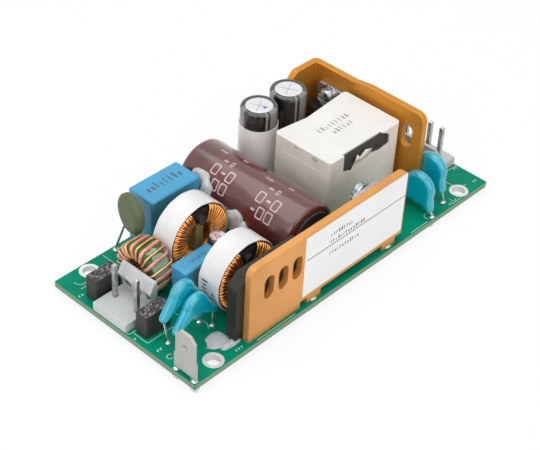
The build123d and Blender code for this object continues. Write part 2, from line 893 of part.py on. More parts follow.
def screw_height(stand):
    """Height of a power device's screw, from how far the device stands above the board."""
    return board_top + stand + device_height - device_hole_drop


def power_device():
    """A three legged power device: a tab with its back on Z = 0 and its hole at the origin, and a body."""
    top = device_hole_drop
    bottom = top - device_height
    middle = (top + bottom) / 2
    tab = Pos(0, middle, device_gap) * extrude(Rectangle(device_width, device_height), device_tab)
    tab = chamfer(tab.edges().filter_by(Axis.Z).group_by(Axis.Y)[-1], device_tab_corner)
    tab -= Cylinder(device_hole / 2, 3 * device_thickness)
    body = extrude(Rectangle(device_width, device_body), device_thickness - device_tab)
    body = Pos(0, bottom + device_body / 2, device_gap + device_tab) * body
    rim = body.faces().sort_by(Axis.Z)[-1].edges()
    return [chamfer(rim, device_edge), tab]


def device_legs(place_x, place_y, stand, along_x):
    """Three flat legs below a power device."""
    size_x, size_y = (device_leg, flat_leg_thickness) if along_x else (flat_leg_thickness, device_leg)
    wires = []
    for index in (-1, 0, 1):
        shift = index * device_pitch
        x = place_x + shift if along_x else place_x
        y = place_y if along_x else place_y + shift
        wires.append(square_leg(x, y, board_top + stand, size_x, size_y))
    return wires


def device_screw():
    """A pan head screw with its captive washer, its axis on Z, for a plate whose face is Z = 0."""
    head_seat = device_gap + device_tab
    under_head = head_seat + washer_thickness
    shape = tube(screw / 2, under_head + screw_reach, 0, 0, -screw_reach)
    head = tube(screw_head / 2, screw_head_height, 0, 0, under_head)
    head = chamfer(head.faces().sort_by(Axis.Z)[-1].edges(), screw_head_round)
    slot = Pos(0, 0, under_head + screw_head_height) * Box(screw_head, screw_slot, 2 * screw_slot_depth)
    return shape + (head - slot) + tube(washer / 2, washer_thickness, 0, 0, head_seat)


def make_power_devices():
    """The transistor on the front plate and the rectifier on the rear plate, with their screws."""
    rear_x = input_end + rear_sink_from_end
    front = Pos(transistor_x, sink_inner_face, screw_height(transistor_stand)) * Rot(X=90) * Rot(Y=180)
    rear = Pos(rear_x, rectifier_y, screw_height(rectifier_stand)) * Rot(Z=-90) * Rot(X=90)
    leg_depth = device_gap + device_thickness / 2
    wires = device_legs(transistor_x, sink_inner_face + leg_depth, transistor_stand, True)
    keep("power_transistor", *[front * piece for piece in power_device()], *wires)
    wires = device_legs(rear_x - leg_depth, rectifier_y, rectifier_stand, False)
    keep("output_rectifier", *[rear * piece for piece in power_device()], *wires)
    keep("heatsink_screws", front * device_screw(), rear * device_screw())


def make_bridge():
    """The flat bridge rectifier that stands against the front plate."""
    x0 = input_end + front_sink_start - bridge_overhang
    x1 = x0 + bridge_length
    y0 = sink_inner_face
    y1 = y0 + bridge_thickness
    z0 = board_top + bridge_stand
    z1 = z0 + bridge_height
    body = block(x0, x1, y0, y1, z0, z1)
    corner = body.edges().filter_by(Axis.Y).group_by(Axis.Z)[-1].sort_by(Axis.X)[0]
    body = chamfer(corner, bridge_chamfer)
    body = chamfer(body.faces().sort_by(Axis.Y)[-1].edges(), bridge_edge)
    wires = []
    for index in range(bridge_legs):
        x = (x0 + x1) / 2 + (index - (bridge_legs - 1) / 2) * bridge_pitch
        wires.append(square_leg(x, (y0 + y1) / 2, z0, flat_leg, flat_leg_thickness))
    keep("bridge_rectifier", body, *wires)


def upright_capacitor(name, x, y, diameter, height, pitch):
    """An upright electrolytic: a can with two legs, in a sleeve that laps over its top edge."""
    radius = diameter / 2
    can = tube(radius, height, x, y, board_top)
    can = chamfer(can.faces().sort_by(Axis.Z)[-1].edges(), cap_edge)
    wires = [round_leg(x + side * pitch / 2, y, board_top, thin_leg) for side in (-1, 1)]
    keep(name + "_can", can, *wires)
    sleeve = tube(radius + cap_sleeve, height + cap_sleeve, x, y, board_top) - can
    sleeve -= tube(radius - cap_lip, 2 * height, x, y, board_top)
    keep(name + "_sleeve", sleeve)


def make_upright_capacitors():
    """The two output capacitors, wrapped in tape, and the small one between the chokes."""
    radius = cap_diameter / 2 + cap_sleeve
    y = back_edge - cap_back_gap - radius
    first = input_end + row_behind_bulk + cap_gap + radius
    for name, x, tape_top in (
        ("output_capacitor_first", first, cap_tape_top),
        ("output_capacitor_second", first + cap_spacing, cap_second_tape_top),
    ):
        upright_capacitor(name, x, y, cap_diameter, cap_height, cap_pitch)
        base = board_top + cap_tape_foot
        wrap = tube(radius + cap_tape, tape_top - cap_tape_foot, x, y, base)
        wrap -= tube(radius, tape_top, x, y, base)
        keep(name + "_tape", wrap)
    x = input_end + bulk_from_end - small_cap_bulk_gap - small_cap_diameter / 2
    y = front_edge + small_cap_front_gap
    upright_capacitor("small_capacitor", x, y, small_cap_diameter, small_cap_height, small_cap_pitch)


def make_transformer():
    """The main transformer: two core halves, a bobbin with pins, a winding and a tape cover."""
    x0 = input_end + transformer_from_end
    x1 = x0 + transformer_length
    y1 = back_edge - cap_back_gap - cap_diameter - 2 * cap_sleeve - transformer_back_gap
    y0 = y1 - transformer_width
    x = (x0 + x1) / 2
    top = board_top + transformer_top
    outline = Polyline(
        (x0, y0),
        (x1, y0),
        (x1, y1),
        (x - tape_waist_shift, y1 - tape_waist),
        (x0, y1),
        close=True,
    )
    solid = extrude(Pos(0, 0, board_top + tape_foot) * make_face(outline), transformer_top - tape_foot)
    solid = fillet(solid.edges().filter_by(Axis.Z), tape_corner)
    cavity = block(x0 + tape, x1 - tape, y0 + tape, y1 - tape - tape_waist, 0, top - tape)
    window_x0 = x0 + window_start
    opening = [(window_x0 + window_length * run, top - window_drop * fall) for run, fall in window_outline]
    opening += [(opening[-1][0], top + window_on_top), (window_x0, top + window_on_top)]
    cutter = slab_along_y(opening, y0 - window_on_top, y0 + window_on_top)
    keep("transformer_tape", solid - cavity - cutter)

    core_x0, core_x1 = x0 + tape, x1 - tape
    core_y0, core_y1 = y0 + tape, y1 - tape - tape_waist
    core_z1 = top - tape
    core_z0 = board_top + bobbin_foot
    middle = (core_z0 + core_z1) / 2
    halves = []
    for low, high, plate0, plate1 in (
        (core_z0, middle, core_z0, core_z0 + core_plate),
        (middle, core_z1, core_z1 - core_plate, core_z1),
    ):
        half = block(core_x0, core_x1, core_y0, core_y1, plate0, plate1)
        half += block(core_x0, core_x0 + core_leg, core_y0, core_y1, low, high)
        half += block(core_x1 - core_leg, core_x1, core_y0, core_y1, low, high)
        half += tube(core_post, high - low, x, (core_y0 + core_y1) / 2, low)
        halves.append(half)
    keep("transformer_core", *halves)

    gap = winding_gap
    spool_z0 = core_z0 + core_plate
    spool_z1 = core_z1 - core_plate
    inner_x0, inner_x1 = core_x0 + core_leg + gap, core_x1 - core_leg - gap
    middle_y = (core_y0 + core_y1) / 2
    spool = tube(core_post + bobbin_wall, spool_z1 - spool_z0, x, middle_y, spool_z0)
    spool += block(inner_x0, inner_x1, core_y0, core_y1, spool_z0, spool_z0 + bobbin_wall)
    spool += block(inner_x0, inner_x1, core_y0, core_y1, spool_z1 - bobbin_wall, spool_z1)
    spool -= tube(core_post, spool_z1 - spool_z0, x, middle_y, spool_z0)
    keep("transformer_bobbin", spool)
    copper_radius = min((inner_x1 - inner_x0) / 2, (core_y1 - core_y0) / 2)
    low = spool_z0 + bobbin_wall
    height = spool_z1 - spool_z0 - 2 * bobbin_wall
    copper = tube(copper_radius, height, x, middle_y, low)
    copper -= tube(core_post + bobbin_wall, height, x, middle_y, low)
    keep("transformer_winding", copper)
    rails, pins = [], []
    for side in (-1, 1):
        rail_x = x + side * (transformer_length / 2 - tape - core_leg / 2)
        rail_x0, rail_x1 = rail_x - core_leg / 2, rail_x + core_leg / 2
        rails.append(block(rail_x0, rail_x1, core_y0, core_y1, board_top, core_z0))
        for index in range(bobbin_pins):
            pin_y = middle_y + (index - (bobbin_pins - 1) / 2) * bobbin_pin_pitch
            pins.append(square_leg(rail_x, pin_y, board_top, bobbin_pin, bobbin_pin))
    keep("transformer_pin_rails", *rails)
    keep("transformer_pins", *pins)


def make_board():
    """The circuit board with its mounting holes and a hole for each leg, and the solder below."""
    board = Pos(0, 0, board_bottom) * extrude(Rectangle(board_length, board_width), board_thickness)
    board = fillet(board.edges().filter_by(Axis.Z), board_corner)
    holes = []
    for side_x in (-1, 1):
        for side_y in (-1, 1):
            x = side_x * (board_length / 2 - mount_inset_end)
            y = side_y * (board_width / 2 - mount_inset_side)
            holes.append(bore(mount_hole / 2, board_thickness, x, y, board_bottom))
    joints = []
    for x, y, size_x, size_y, is_round in legs:
        if is_round:
            drill = wire_section(size_x + 2 * drill_clearance)
            holes.append(Pos(x, y, board_bottom) * extrude(drill, board_thickness))
        else:
            half_x, half_y = size_x / 2 + drill_clearance, size_y / 2 + drill_clearance
            holes.append(block(x - half_x, x + half_x, y - half_y, y + half_y, board_bottom, board_top))
        joints.append(solder_joint(x, y, size_x, size_y))
    keep("circuit_board", board - holes)
    keep("solder_joints", *joints)


def solder_joint(x, y, size_x, size_y):
    """A tapered solder fillet round the end of a leg, from the board's underside down."""
    wide_x, wide_y = size_x + 2 * solder_spread, size_y + 2 * solder_spread
    inset = solder_spread - solder_tip
    shape = Wedge(wide_x, solder_height, wide_y, inset, inset, wide_x - inset, wide_y - inset)
    return Pos(x, y, solder_height / 2) * Rot(X=-90) * shape


make_headers()
make_fuses()
make_earth_tab()
make_input_discs()
make_output_discs()
make_thermistor()
make_small_choke()
make_large_chokes()
make_box_capacitors()
make_bulk_capacitor()
make_front_heatsink()
make_bridge()
make_rear_heatsink()
make_power_devices()
make_upright_capacitors()
make_transformer()
make_board()

os.makedirs("parts", exist_ok=True)
for name, shape in nodes.items():
    export_step(shape, "parts/" + name + ".step")
    print(name, len(shape.solids()), "solids", round(shape.volume, 1), "mm3")
print("board", board_length, board_width, "legs", len(legs))
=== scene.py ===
import math
import random

import bmesh
import bpy
from bpy.props import FloatProperty, FloatVectorProperty, IntProperty, PointerProperty
from mathutils import Matrix, Vector


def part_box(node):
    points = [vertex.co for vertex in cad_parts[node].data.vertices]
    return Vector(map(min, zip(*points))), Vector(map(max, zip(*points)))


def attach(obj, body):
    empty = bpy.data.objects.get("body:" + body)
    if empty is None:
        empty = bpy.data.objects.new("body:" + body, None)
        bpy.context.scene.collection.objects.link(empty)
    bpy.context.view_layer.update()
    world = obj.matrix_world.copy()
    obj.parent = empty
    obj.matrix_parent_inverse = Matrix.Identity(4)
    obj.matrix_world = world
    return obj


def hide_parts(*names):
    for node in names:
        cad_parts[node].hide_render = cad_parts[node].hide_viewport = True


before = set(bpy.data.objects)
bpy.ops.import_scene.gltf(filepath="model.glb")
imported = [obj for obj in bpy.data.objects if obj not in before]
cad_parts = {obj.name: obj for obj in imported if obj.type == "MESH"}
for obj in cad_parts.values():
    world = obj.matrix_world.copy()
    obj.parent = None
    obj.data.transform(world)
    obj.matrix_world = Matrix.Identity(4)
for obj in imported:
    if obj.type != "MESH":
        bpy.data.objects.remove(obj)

bl_info = {
    "name": "Open Frame Power Supply",
    "version": (1, 0, 0),
    "blender": (4, 5, 0),
    "location": "View3D > Sidebar > Power Supply",
    "description": "Builds the looks of an open frame power supply over its packed model",
    "category": "Object",
}

MM = 0.001
BODY = "root"
BOARD_LOW, BOARD_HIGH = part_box("circuit_board")
BOARD_TOP = BOARD_HIGH.z
BOARD_THICKNESS = BOARD_TOP - BOARD_LOW.z

MOUNT_HOLE = 1.85 * MM
MOUNT_X, MOUNT_Y = 48.05 * MM, 22.4 * MM
INK_LOW, INK_HIGH = 0.005 * MM, 0.02 * MM
SMALL_CHOKE_BORE = 3.05 * MM
CHOKE_BORE = 4.7 * MM
CHOKE_REACH = 1.1 * MM
CHOKE_SWEEP = 142.0
BAND_WALL, BAND_FACETS, BAND_SHARPNESS = 0.28 * MM, 14, 0.45
TAB_DROP = 6.58 * MM
FRAME_POWER = 9.0
BEAD_DENT = 0.03
FLOOR_GLOW = 0.86
SKY_DIM, SKY_BRIGHT = 0.38, 1.0
LAMP_TARGET = Vector((0, 0, 0.01))


# Sizes and colours


def colour_field(name, text, default):
    """A colour for the panel."""
    return FloatVectorProperty(name=name, description=text, subtype="COLOR", default=default)


def length_field(name, text, default):
    """A length for the panel, given in millimetres."""
    return FloatProperty(name=name, description=text, unit="LENGTH", default=default * MM, precision=5)


class BoardLook(bpy.types.PropertyGroup):
    """Solder mask, ink and pads of the circuit board."""

    mask: colour_field("Solder mask", "Colour of the solder mask", (0.0, 0.245, 0.145))
    ink: colour_field("Ink", "Colour of the printed outlines", (0.58, 0.74, 0.66))
    ink_width: length_field("Ink width", "Width of a printed line", 0.16)
    pad_reach: length_field("Pad reach", "How far a mounting pad reaches past its hole", 0.85)


class HeatsinkLook(bpy.types.PropertyGroup):
    """Anodised sheet of the two heatsinks."""

    anodise: colour_field("Anodise", "Colour of the front sheet", (0.70, 0.32, 0.09))
    # Painted shade: the rear sheet is the front's gold anodise, made darker and more saturated for the shade
    # inside the supply.
    rear_anodise_painted_shade: colour_field("Deep anodise", "Colour of the rear sheet", (0.62, 0.255, 0.03))
    edge: length_field("Edge", "Rounding of the sheet's edges", 0.28)


class WindingLook(bpy.types.PropertyGroup):
    """Wires of the chokes."""

    copper: colour_field("Copper", "Colour of the enamelled wire", (0.93, 0.39, 0.09))
    salmon: colour_field("Salmon", "Colour of the small choke's thick wire", (0.74, 0.29, 0.20))
    gold: colour_field("Gold", "Colour of the small choke's thin wire", (0.80, 0.45, 0.16))
    wire: length_field("Wire", "Diameter of the large chokes' wire", 0.5)
    turns: IntProperty(name="Turns", description="Turns of each winding of a large choke", default=40, min=4)
    thick_wire: length_field("Thick wire", "Diameter of the small choke's thick wire", 1.05)
    thin_wire: length_field("Thin wire", "Diameter of the small choke's thin wire", 0.55)


class CapacitorLook(bpy.types.PropertyGroup):
    """Sleeves, coatings and cases of the capacitors."""

    maroon: colour_field("Maroon", "Colour of the large sleeve", (0.105, 0.022, 0.022))
    mark: colour_field("Mark", "Colour of the marks on the large sleeve", (0.62, 0.42, 0.42))
    case: colour_field("Case", "Colour of the moulded boxes", (0.05, 0.33, 0.56))
    coating: colour_field("Coating", "Colour of the dipped discs", (0.0, 0.36, 0.49))


class StageLook(bpy.types.PropertyGroup):
    """Floor and lamps."""

    floor: colour_field("Floor", "Colour of the floor", (0.93, 0.93, 0.93))
    key: FloatProperty(name="Key", description="Power of the lamp overhead", unit="POWER", default=2.9)
    fill: FloatProperty(name="Fill", description="Power of the lamp in front", unit="POWER", default=1.6)


# Finishes


def tinted(colour, factor):
    """A colour made darker or lighter."""
    return tuple(min(1.0, channel * factor) for channel in colour)


class Tree:
    """The nodes of a material or of the world, and their links."""

    def __init__(self, owner):
        owner.use_nodes = True
        self.nodes, self.links = owner.node_tree.nodes, owner.node_tree.links

    def feed(self, node, inputs):
        """Sets or links a node's inputs, by their name or number."""
        for key, value in inputs.items():
            socket = node.inputs[key]
            if isinstance(value, bpy.types.NodeSocket):
                self.links.new(value, socket)
            elif socket.type == "RGBA":
                socket.default_value = (*value, 1.0)
            else:
                socket.default_value = value

    def add(self, kind, output, inputs, **settings):
        """One output of a new node with its settings and inputs."""
        node = self.nodes.new("ShaderNode" + kind)
        for key, value in settings.items():
            setattr(node, key, value)
        self.feed(node, inputs)
        return node.outputs[output]

    def place(self):
        """Object coordinates."""
        return self.add("TexCoord", "Object", {})

    def axes(self):
        """Object coordinates as three numbers."""
        node = self.nodes.new("ShaderNodeSeparateXYZ")
        self.feed(node, {"Vector": self.place()})
        return node.outputs

    def mapped(self, scale=(1, 1, 1)):
        """Object coordinates, stretched."""
        return self.add("Mapping", "Vector", {"Vector": self.place(), "Scale": scale})

    def noise(self, vector, scale, detail=3.0):
        """A noise value at a scale, in cycles a metre."""
        return self.add("TexNoise", "Fac", {"Vector": vector, "Scale": scale, "Detail": detail})

    def spread(self, value, low, high):
        """A noise value spread between two numbers."""
        ends = {"From Min": 0.3, "From Max": 0.7, "To Min": low, "To Max": high}
        return self.add("MapRange", "Result", {"Value": value, **ends})

    def mix(self, factor, first, second, blend="MIX"):
        """A colour between two colours or sockets."""
        return self.add("Mix", 2, {0: factor, 6: first, 7: second}, data_type="RGBA", blend_type=blend)

    def maths(self, operation, first, second=0.0):
        """One step of arithmetic on sockets or numbers."""
        return self.add("Math", "Value", {0: first, 1: second}, operation=operation)


class Surface(Tree):
    """A new material under its name, with its shader."""

    def __init__(self, name):
        self.material = bpy.data.materials.new(name)
        super().__init__(self.material)
        self.shader = self.nodes["Principled BSDF"]

    def shade(self, inputs):
        """Sets or links the shader's inputs."""
        self.feed(self.shader, inputs)

    def bump(self, height, distance):
        """Relief from a height, with its depth in metres."""
        relief = {"Strength": 1.0, "Distance": distance, "Height": height}
        self.shade({"Normal": self.add("Bump", "Normal", relief)})

    def overlay(self, where, colour, blend="MIX"):
        """A second colour over the shader's own, where a value is one."""
        base = self.shader.inputs["Base Color"].links[0].from_socket
        self.shade({"Base Color": self.mix(where, base, colour, blend)})


def finish(name, colour, rough, metal=0.0, coat=0.0, grain=2500.0, depth=0.02, vary=0.12, patch=180.0,
           stretch=(1, 1, 1), gleam=0.5):
    """A surface with a grain in its height, and patches in its colour and gloss."""
    new = Surface(name)
    vector = new.mapped(stretch)
    patches = new.noise(vector, patch)
    new.shade({
        "Base Color": new.mix(new.spread(patches, 0, 1), tinted(colour, 1 - vary), tinted(colour, 1 + vary)),
        "Roughness": new.spread(patches, rough * 0.85, min(1.0, rough * 1.15)),
        "Metallic": metal, "Coat Weight": coat, "Coat Roughness": 0.12, "Specular IOR Level": gleam,
    })
    new.bump(new.noise(vector, grain, 4.0), depth * MM)
    return new


def bare_metal(name, colour=(0.6, 0.6, 0.6)):
    """Bright tinned wire or drawn metal."""
    return finish(name, colour, 0.3, metal=0.9)


def flecked(surface, fleck, scale, share, level=-1.0):
    """Flecks of a second colour on a finish, above a height."""
    high = surface.maths("GREATER_THAN", surface.axes()["Z"], level)
    flecks = surface.maths("GREATER_THAN", surface.noise(surface.place(), scale), share)
    surface.overlay(surface.maths("MULTIPLY", high, flecks), fleck)


def board_finish(look):
    """Green solder mask with faint tracks below it, and bare laminate on the cut edges."""
    new = Surface("green_solder_mask")
    place, (x, y, _) = new.place(), new.axes()
    cells = {"Scale": 150.0, "Vector": place}
    tracks = new.add("TexVoronoi", "Distance", cells, distance="CHEBYCHEV", feature="F1")
    line = new.spread(tracks, 0, 1)
    mottle = new.spread(new.noise(place, 60.0), 0, 0.35)
    mask = new.mix(mottle, new.mix(line, look.mask, tinted(look.mask, 0.78)), tinted(look.mask, 1.25))
    end, side = (new.maths("GREATER_THAN", new.maths("ABSOLUTE", axis), edge - 0.02 * MM)
                 for axis, edge in ((x, BOARD_HIGH.x), (y, BOARD_HIGH.y)))
    new.shade({"Base Color": new.mix(new.maths("MAXIMUM", end, side), mask, (0.20, 0.30, 0.19)),
               "Roughness": 0.35, "Specular IOR Level": 0.08})
    new.bump(line, 0.025 * MM)
    return new


def anodised_finish(name, colour, metal):
    """Satin anodised sheet with a faint rolling grain."""
    new = Surface(name)
    grain = new.noise(new.mapped((1, 1, 14)), 900.0, 5.0)
    patches = new.spread(new.noise(new.mapped(), 70.0), 0, 1)
    new.shade({"Base Color": new.mix(patches, tinted(colour, 0.9), tinted(colour, 1.07)),
               "Roughness": new.spread(grain, 0.36, 0.48), "Metallic": metal, "Specular IOR Level": 0.3})
    new.bump(grain, 0.006 * MM)
    return new


def tape_finish(name, colour, seams):
    """Thin white tape: soft folds, and faint shadows of what it covers."""
    new = Surface(name)
    vector = new.mapped()
    folds, fine = new.noise(vector, 160.0, 2.0), new.noise(vector, 900.0, 3.0)
    new.shade({"Base Color": new.mix(new.spread(folds, 0, 1), tinted(colour, 0.93), colour),
               "Roughness": new.spread(fine, 0.38, 0.5), "Coat Weight": 0.15})
    height = new.maths("ADD", new.maths("MULTIPLY", folds, 1.0 + seams), new.maths("MULTIPLY", fine, 0.15))
    new.bump(height, 0.22 * MM)
    return new


def wire_finish(name, colour, metal=0.55):
    """Enamelled copper: bright, with darker and lighter turns."""
    new = Surface(name)
    vector = new.mapped()
    turns = new.noise(vector, 420.0, 2.0)
    new.shade({"Base Color": new.mix(new.spread(turns, 0, 1), tinted(colour, 0.72), tinted(colour, 1.15)),
               "Roughness": new.spread(turns, 0.22, 0.34), "Metallic": metal,
               "Coat Weight": 0.5, "Coat Roughness": 0.1})
    new.bump(new.noise(vector, 1800.0), 0.01 * MM)
    return new


def striped_sleeve_finish(name, centre, colour, stripe, stripes):
    """A dark shrink sleeve with pale stripes down its side, given as angle and half width."""
    new = Surface(name)
    x, y, _ = new.axes()
    turn = new.maths("ARCTAN2", new.maths("SUBTRACT", y, centre.y), new.maths("SUBTRACT", x, centre.x))
    inside = 0.0
    for angle, half_width in stripes:
        off = new.maths("ABSOLUTE", new.maths("SUBTRACT", turn, math.radians(angle)))
        inside = new.maths("MAXIMUM", inside, new.maths("LESS_THAN", off, half_width))
    new.shade({"Base Color": new.mix(inside, colour, stripe), "Coat Weight": 0.8,
               "Roughness": new.spread(new.noise(new.place(), 700.0), 0.14, 0.22)})
    new.bump(new.noise(new.place(), 260.0), 0.09 * MM)
    return new


def tape_cover_with_painted_shade(name, top, side, level):
    """White tape with a painted shade below a height: darker and warmer there than on the paler top."""
    new = tape_finish(name, top, 0.6)
    # Painted shade: the tape's sides are multiplied by the side colour over the top colour.
    low = new.maths("LESS_THAN", new.axes()["Z"], level)
    new.overlay(low, tuple(part / whole for part, whole in zip(side, top)), "MULTIPLY")
    return new


# Shapes


def mm(*values):
    """Millimetres as metres."""
    return tuple(value * MM for value in values)


def link_piece(name, bm, surface, node, replaces=False, smooth=35.0):
    """A finished mesh as a piece on the supply's one body, and maybe in a node's place."""
    mesh = bpy.data.meshes.new(name)
    bm.normal_update()
    bm.to_mesh(mesh)
    bm.free()
    mesh.materials.append(surface.material)
    mesh.shade_smooth()
    mesh.set_sharp_from_angle(angle=math.radians(smooth))
    piece = bpy.data.objects.new(name, mesh)
    bpy.context.scene.collection.objects.link(piece)
    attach(piece, BODY)
    if replaces:
        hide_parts(node)
    return piece


def solids_of(node):
    """The solids of a CAD node as merged meshes, the largest first."""
    bm = bmesh.new()
    bm.from_mesh(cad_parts[node].data)
    bmesh.ops.remove_doubles(bm, verts=bm.verts, dist=0.002 * MM)
    seen, groups = set(), []
    for start in bm.verts:
        if start.index in seen:
            continue
        stack, group = [start], set()
        seen.add(start.index)
        while stack:
            vert = stack.pop()
            group.add(vert.index)
            for edge in vert.link_edges:
                other = edge.other_vert(vert)
                if other.index not in seen:
                    seen.add(other.index)
                    stack.append(other)
        groups.append(group)
    pieces = []
    for group in groups:
        part = bm.copy()
        extra = [vert for vert in part.verts if vert.index not in group]
        bmesh.ops.delete(part, geom=extra, context="VERTS")
        bmesh.ops.dissolve_limit(part, angle_limit=math.radians(0.5), verts=part.verts, edges=part.edges)
        pieces.append(part)
    bm.free()
    return sorted(pieces, key=lambda part: -part.calc_volume())


def footprint(solid):
    """A solid's middle and half width from above; its mesh is freed."""
    xs = [vert.co.x for vert in solid.verts]
    ys = [vert.co.y for vert in solid.verts]
    solid.free()
    half_width = min(max(xs) - min(xs), max(ys) - min(ys)) / 2
    return (min(xs) + max(xs)) / 2, (min(ys) + max(ys)) / 2, half_width


def joined(parts):
    """Several meshes as one."""
    whole = bmesh.new()
    for part in parts:
        mesh = bpy.data.meshes.new("part")
        part.to_mesh(mesh)
        part.free()
        whole.from_mesh(mesh)
        bpy.data.meshes.remove(mesh)
    return whole


def rounded(piece, width, segments):
    """Rounds a piece's edges with a bevel."""
    bevel = piece.modifiers.new("Rounded edges", "BEVEL")
    bevel.width = width
    bevel.segments = segments
    bevel.limit_method = "ANGLE"
    bevel.angle_limit = math.radians(38.0)
    bevel.use_clamp_overlap = True
    bevel.harden_normals = False


def softened(piece, rounds):
    """Turns a piece into one skin, as a dipped coating is, and smooths it."""
    skin = piece.modifiers.new("One skin", "REMESH")
    skin.mode = "VOXEL"
    skin.voxel_size = 0.2 * MM
    skin.use_smooth_shade = True
    smooth = piece.modifiers.new("Flow", "SMOOTH")
    smooth.factor = 0.6
    smooth.iterations = rounds


def dress(node, name, surface, edge=0.0, segments=3, legs=None):
    """A CAD node's own shape with rounded edges; its smaller solids get the legs' finish."""
    parts = solids_of(node)
    if legs is not None and len(parts) > 1:
        link_piece(name + "_legs", joined(parts[1:]), legs, node)
        parts = parts[:1]
    body = link_piece(name, joined(parts), surface, node, True)
    if edge:
        rounded(body, edge, segments)
    return body


def clad(node, surface):
    """A CAD node whose shape stays gets a finish."""
    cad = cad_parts[node]
    if not cad.material_slots:
        cad.data.materials.append(surface.material)
    for slot in cad.material_slots:
        slot.material = surface.material


def add_box(bm, low, high):
    """A box between two corners, added to a mesh."""
    verts = bmesh.ops.create_cube(bm, size=1.0)["verts"]
    bmesh.ops.scale(bm, vec=[b - a for a, b in zip(low, high)], verts=verts)
    bmesh.ops.translate(bm, vec=[(a + b) / 2 for a, b in zip(low, high)], verts=verts)
    return verts


def add_peg(bm, place, radius, depth, sides, tip=None):
    """An upright round peg about a place, or a cone where its tip's radius is given."""
    tip = radius if tip is None else tip
    made = bmesh.ops.create_cone(bm, cap_ends=True, segments=sides, radius1=radius, radius2=tip, depth=depth)
    bmesh.ops.translate(bm, vec=place, verts=made["verts"])


def add_ring(bm, place, inner, outer, steps=24, start=0.0, turn=math.tau):
    """A flat ring, or part of one, added to a mesh."""
    first, second = bm.verts.new((inner, 0, 0)), bm.verts.new((outer, 0, 0))
    edge = bm.edges.new((first, second))
    bmesh.ops.spin(bm, geom=[first, second, edge], cent=(0, 0, 0), axis=(0, 0, 1), dvec=(0, 0, 0),
                   angle=turn, steps=steps, use_merge=abs(turn - math.tau) < 1e-6)
    verts = [vert for vert in bm.verts if not vert.tag]
    bmesh.ops.rotate(bm, cent=(0, 0, 0), matrix=Matrix.Rotation(start, 3, "Z"), verts=verts)
    bmesh.ops.translate(bm, vec=place, verts=verts)
    for vert in verts:
        vert.tag = True


def add_dashes(bm, corner, count, pitch, height, rise, seed):
    """A row of plain dashes along X on a level face, or on an upright one where they rise along Z."""
    chance, lift = random.Random(seed), 0.012 * MM
    for index in range(count):
        low = list(mm(*corner))
        low[0] += index * pitch * MM
        high = [low[0] + pitch * chance.choice((0.28, 0.5)) * MM, low[1], low[2]]
        high[rise] += height * chance.choice((1.0, 1.0, 0.6)) * MM
        if rise == 1:
            high[2] += lift
        else:
            low[1] -= lift
        add_box(bm, low, high)


def add_blob(bm, centre, size, seed):
    """A lump of set silicone: a ball pressed flat and dented."""
    made = bmesh.ops.create_icosphere(bm, subdivisions=4, radius=1.0)
    chance = random.Random(seed)
    waves = [
        (Vector([chance.uniform(-1, 1) for _ in range(3)]).normalized(), chance.uniform(2.0, 4.5))
        for _ in range(7)
    ]
    for vert in made["verts"]:
        dents = sum(math.sin(direction.dot(vert.co) * pace * 2.0) for direction, pace in waves)
        pressed = Vector([value * stretch for value, stretch in zip(vert.co, size)])
        vert.co = pressed * (1.0 + BEAD_DENT * dents) + Vector(centre)
        vert.co.z = max(vert.co.z, BOARD_TOP)


def spun(profile, centre, axis=(0, 0, 1), steps=96):
    """A closed round shape from a few points of its outline, given as distance out and along."""
    bm = bmesh.new()
    verts = [bm.verts.new((radius, 0, along)) for radius, along in profile]
    edges = [bm.edges.new(pair) for pair in zip(verts, verts[1:])]
    bmesh.ops.spin(bm, geom=verts + edges, cent=(0, 0, 0), axis=(0, 0, 1), dvec=(0, 0, 0),
                   angle=math.tau, steps=steps, use_merge=True)
    bmesh.ops.remove_doubles(bm, verts=bm.verts, dist=0.001 * MM)
    bmesh.ops.recalc_face_normals(bm, faces=bm.faces)
    turn = Vector((0, 0, 1)).rotation_difference(Vector(axis)).to_matrix()
    bmesh.ops.rotate(bm, cent=(0, 0, 0), matrix=turn, verts=bm.verts)
    bmesh.ops.translate(bm, vec=centre, verts=bm.verts)
    return bm


def upright_body(node):
    """Foot, radius and height of an upright round node."""
    low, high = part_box(node)
    foot = Vector(((low.x + high.x) / 2, (low.y + high.y) / 2, low.z))
    return foot, (high.x - low.x) / 2, high.z - low.z


def wire_piece(name, points, diameter, surface, node):
    """A wire along points, smooth through them, made a mesh."""
    curve = bpy.data.curves.new(name, "CURVE")
    curve.dimensions = "3D"
    curve.bevel_depth = diameter / 2
    curve.bevel_resolution = 2
    curve.resolution_u = 3
    curve.use_fill_caps = True
    spline = curve.splines.new("NURBS")
    spline.points.add(len(points) - 1)
    for knot, point in zip(spline.points, points):
        knot.co = (*point, 1.0)
    spline.order_u = 3
    spline.use_endpoint_u = True
    carrier = bpy.data.objects.new(name, curve)
    bpy.context.scene.collection.objects.link(carrier)
    bpy.context.view_layer.update()
    mesh = bpy.data.meshes.new_from_object(carrier.evaluated_get(bpy.context.evaluated_depsgraph_get()))
    bpy.data.objects.remove(carrier)
    bm = bmesh.new()
    bm.from_mesh(mesh)
    bpy.data.meshes.remove(mesh)
    link_piece(name, bm, surface, node, True, smooth=60.0)


def section_turn(inner, outer, half, corner):
    """One turn round a ring's section, as distance out and across, with cut corners."""
    return (
        (inner, -half + corner), (inner, half - corner), (inner + corner, half), (outer - corner, half),
        (outer, half - corner), (outer, -half + corner), (outer - corner, -half), (inner + corner, -half),
    )


# Pieces


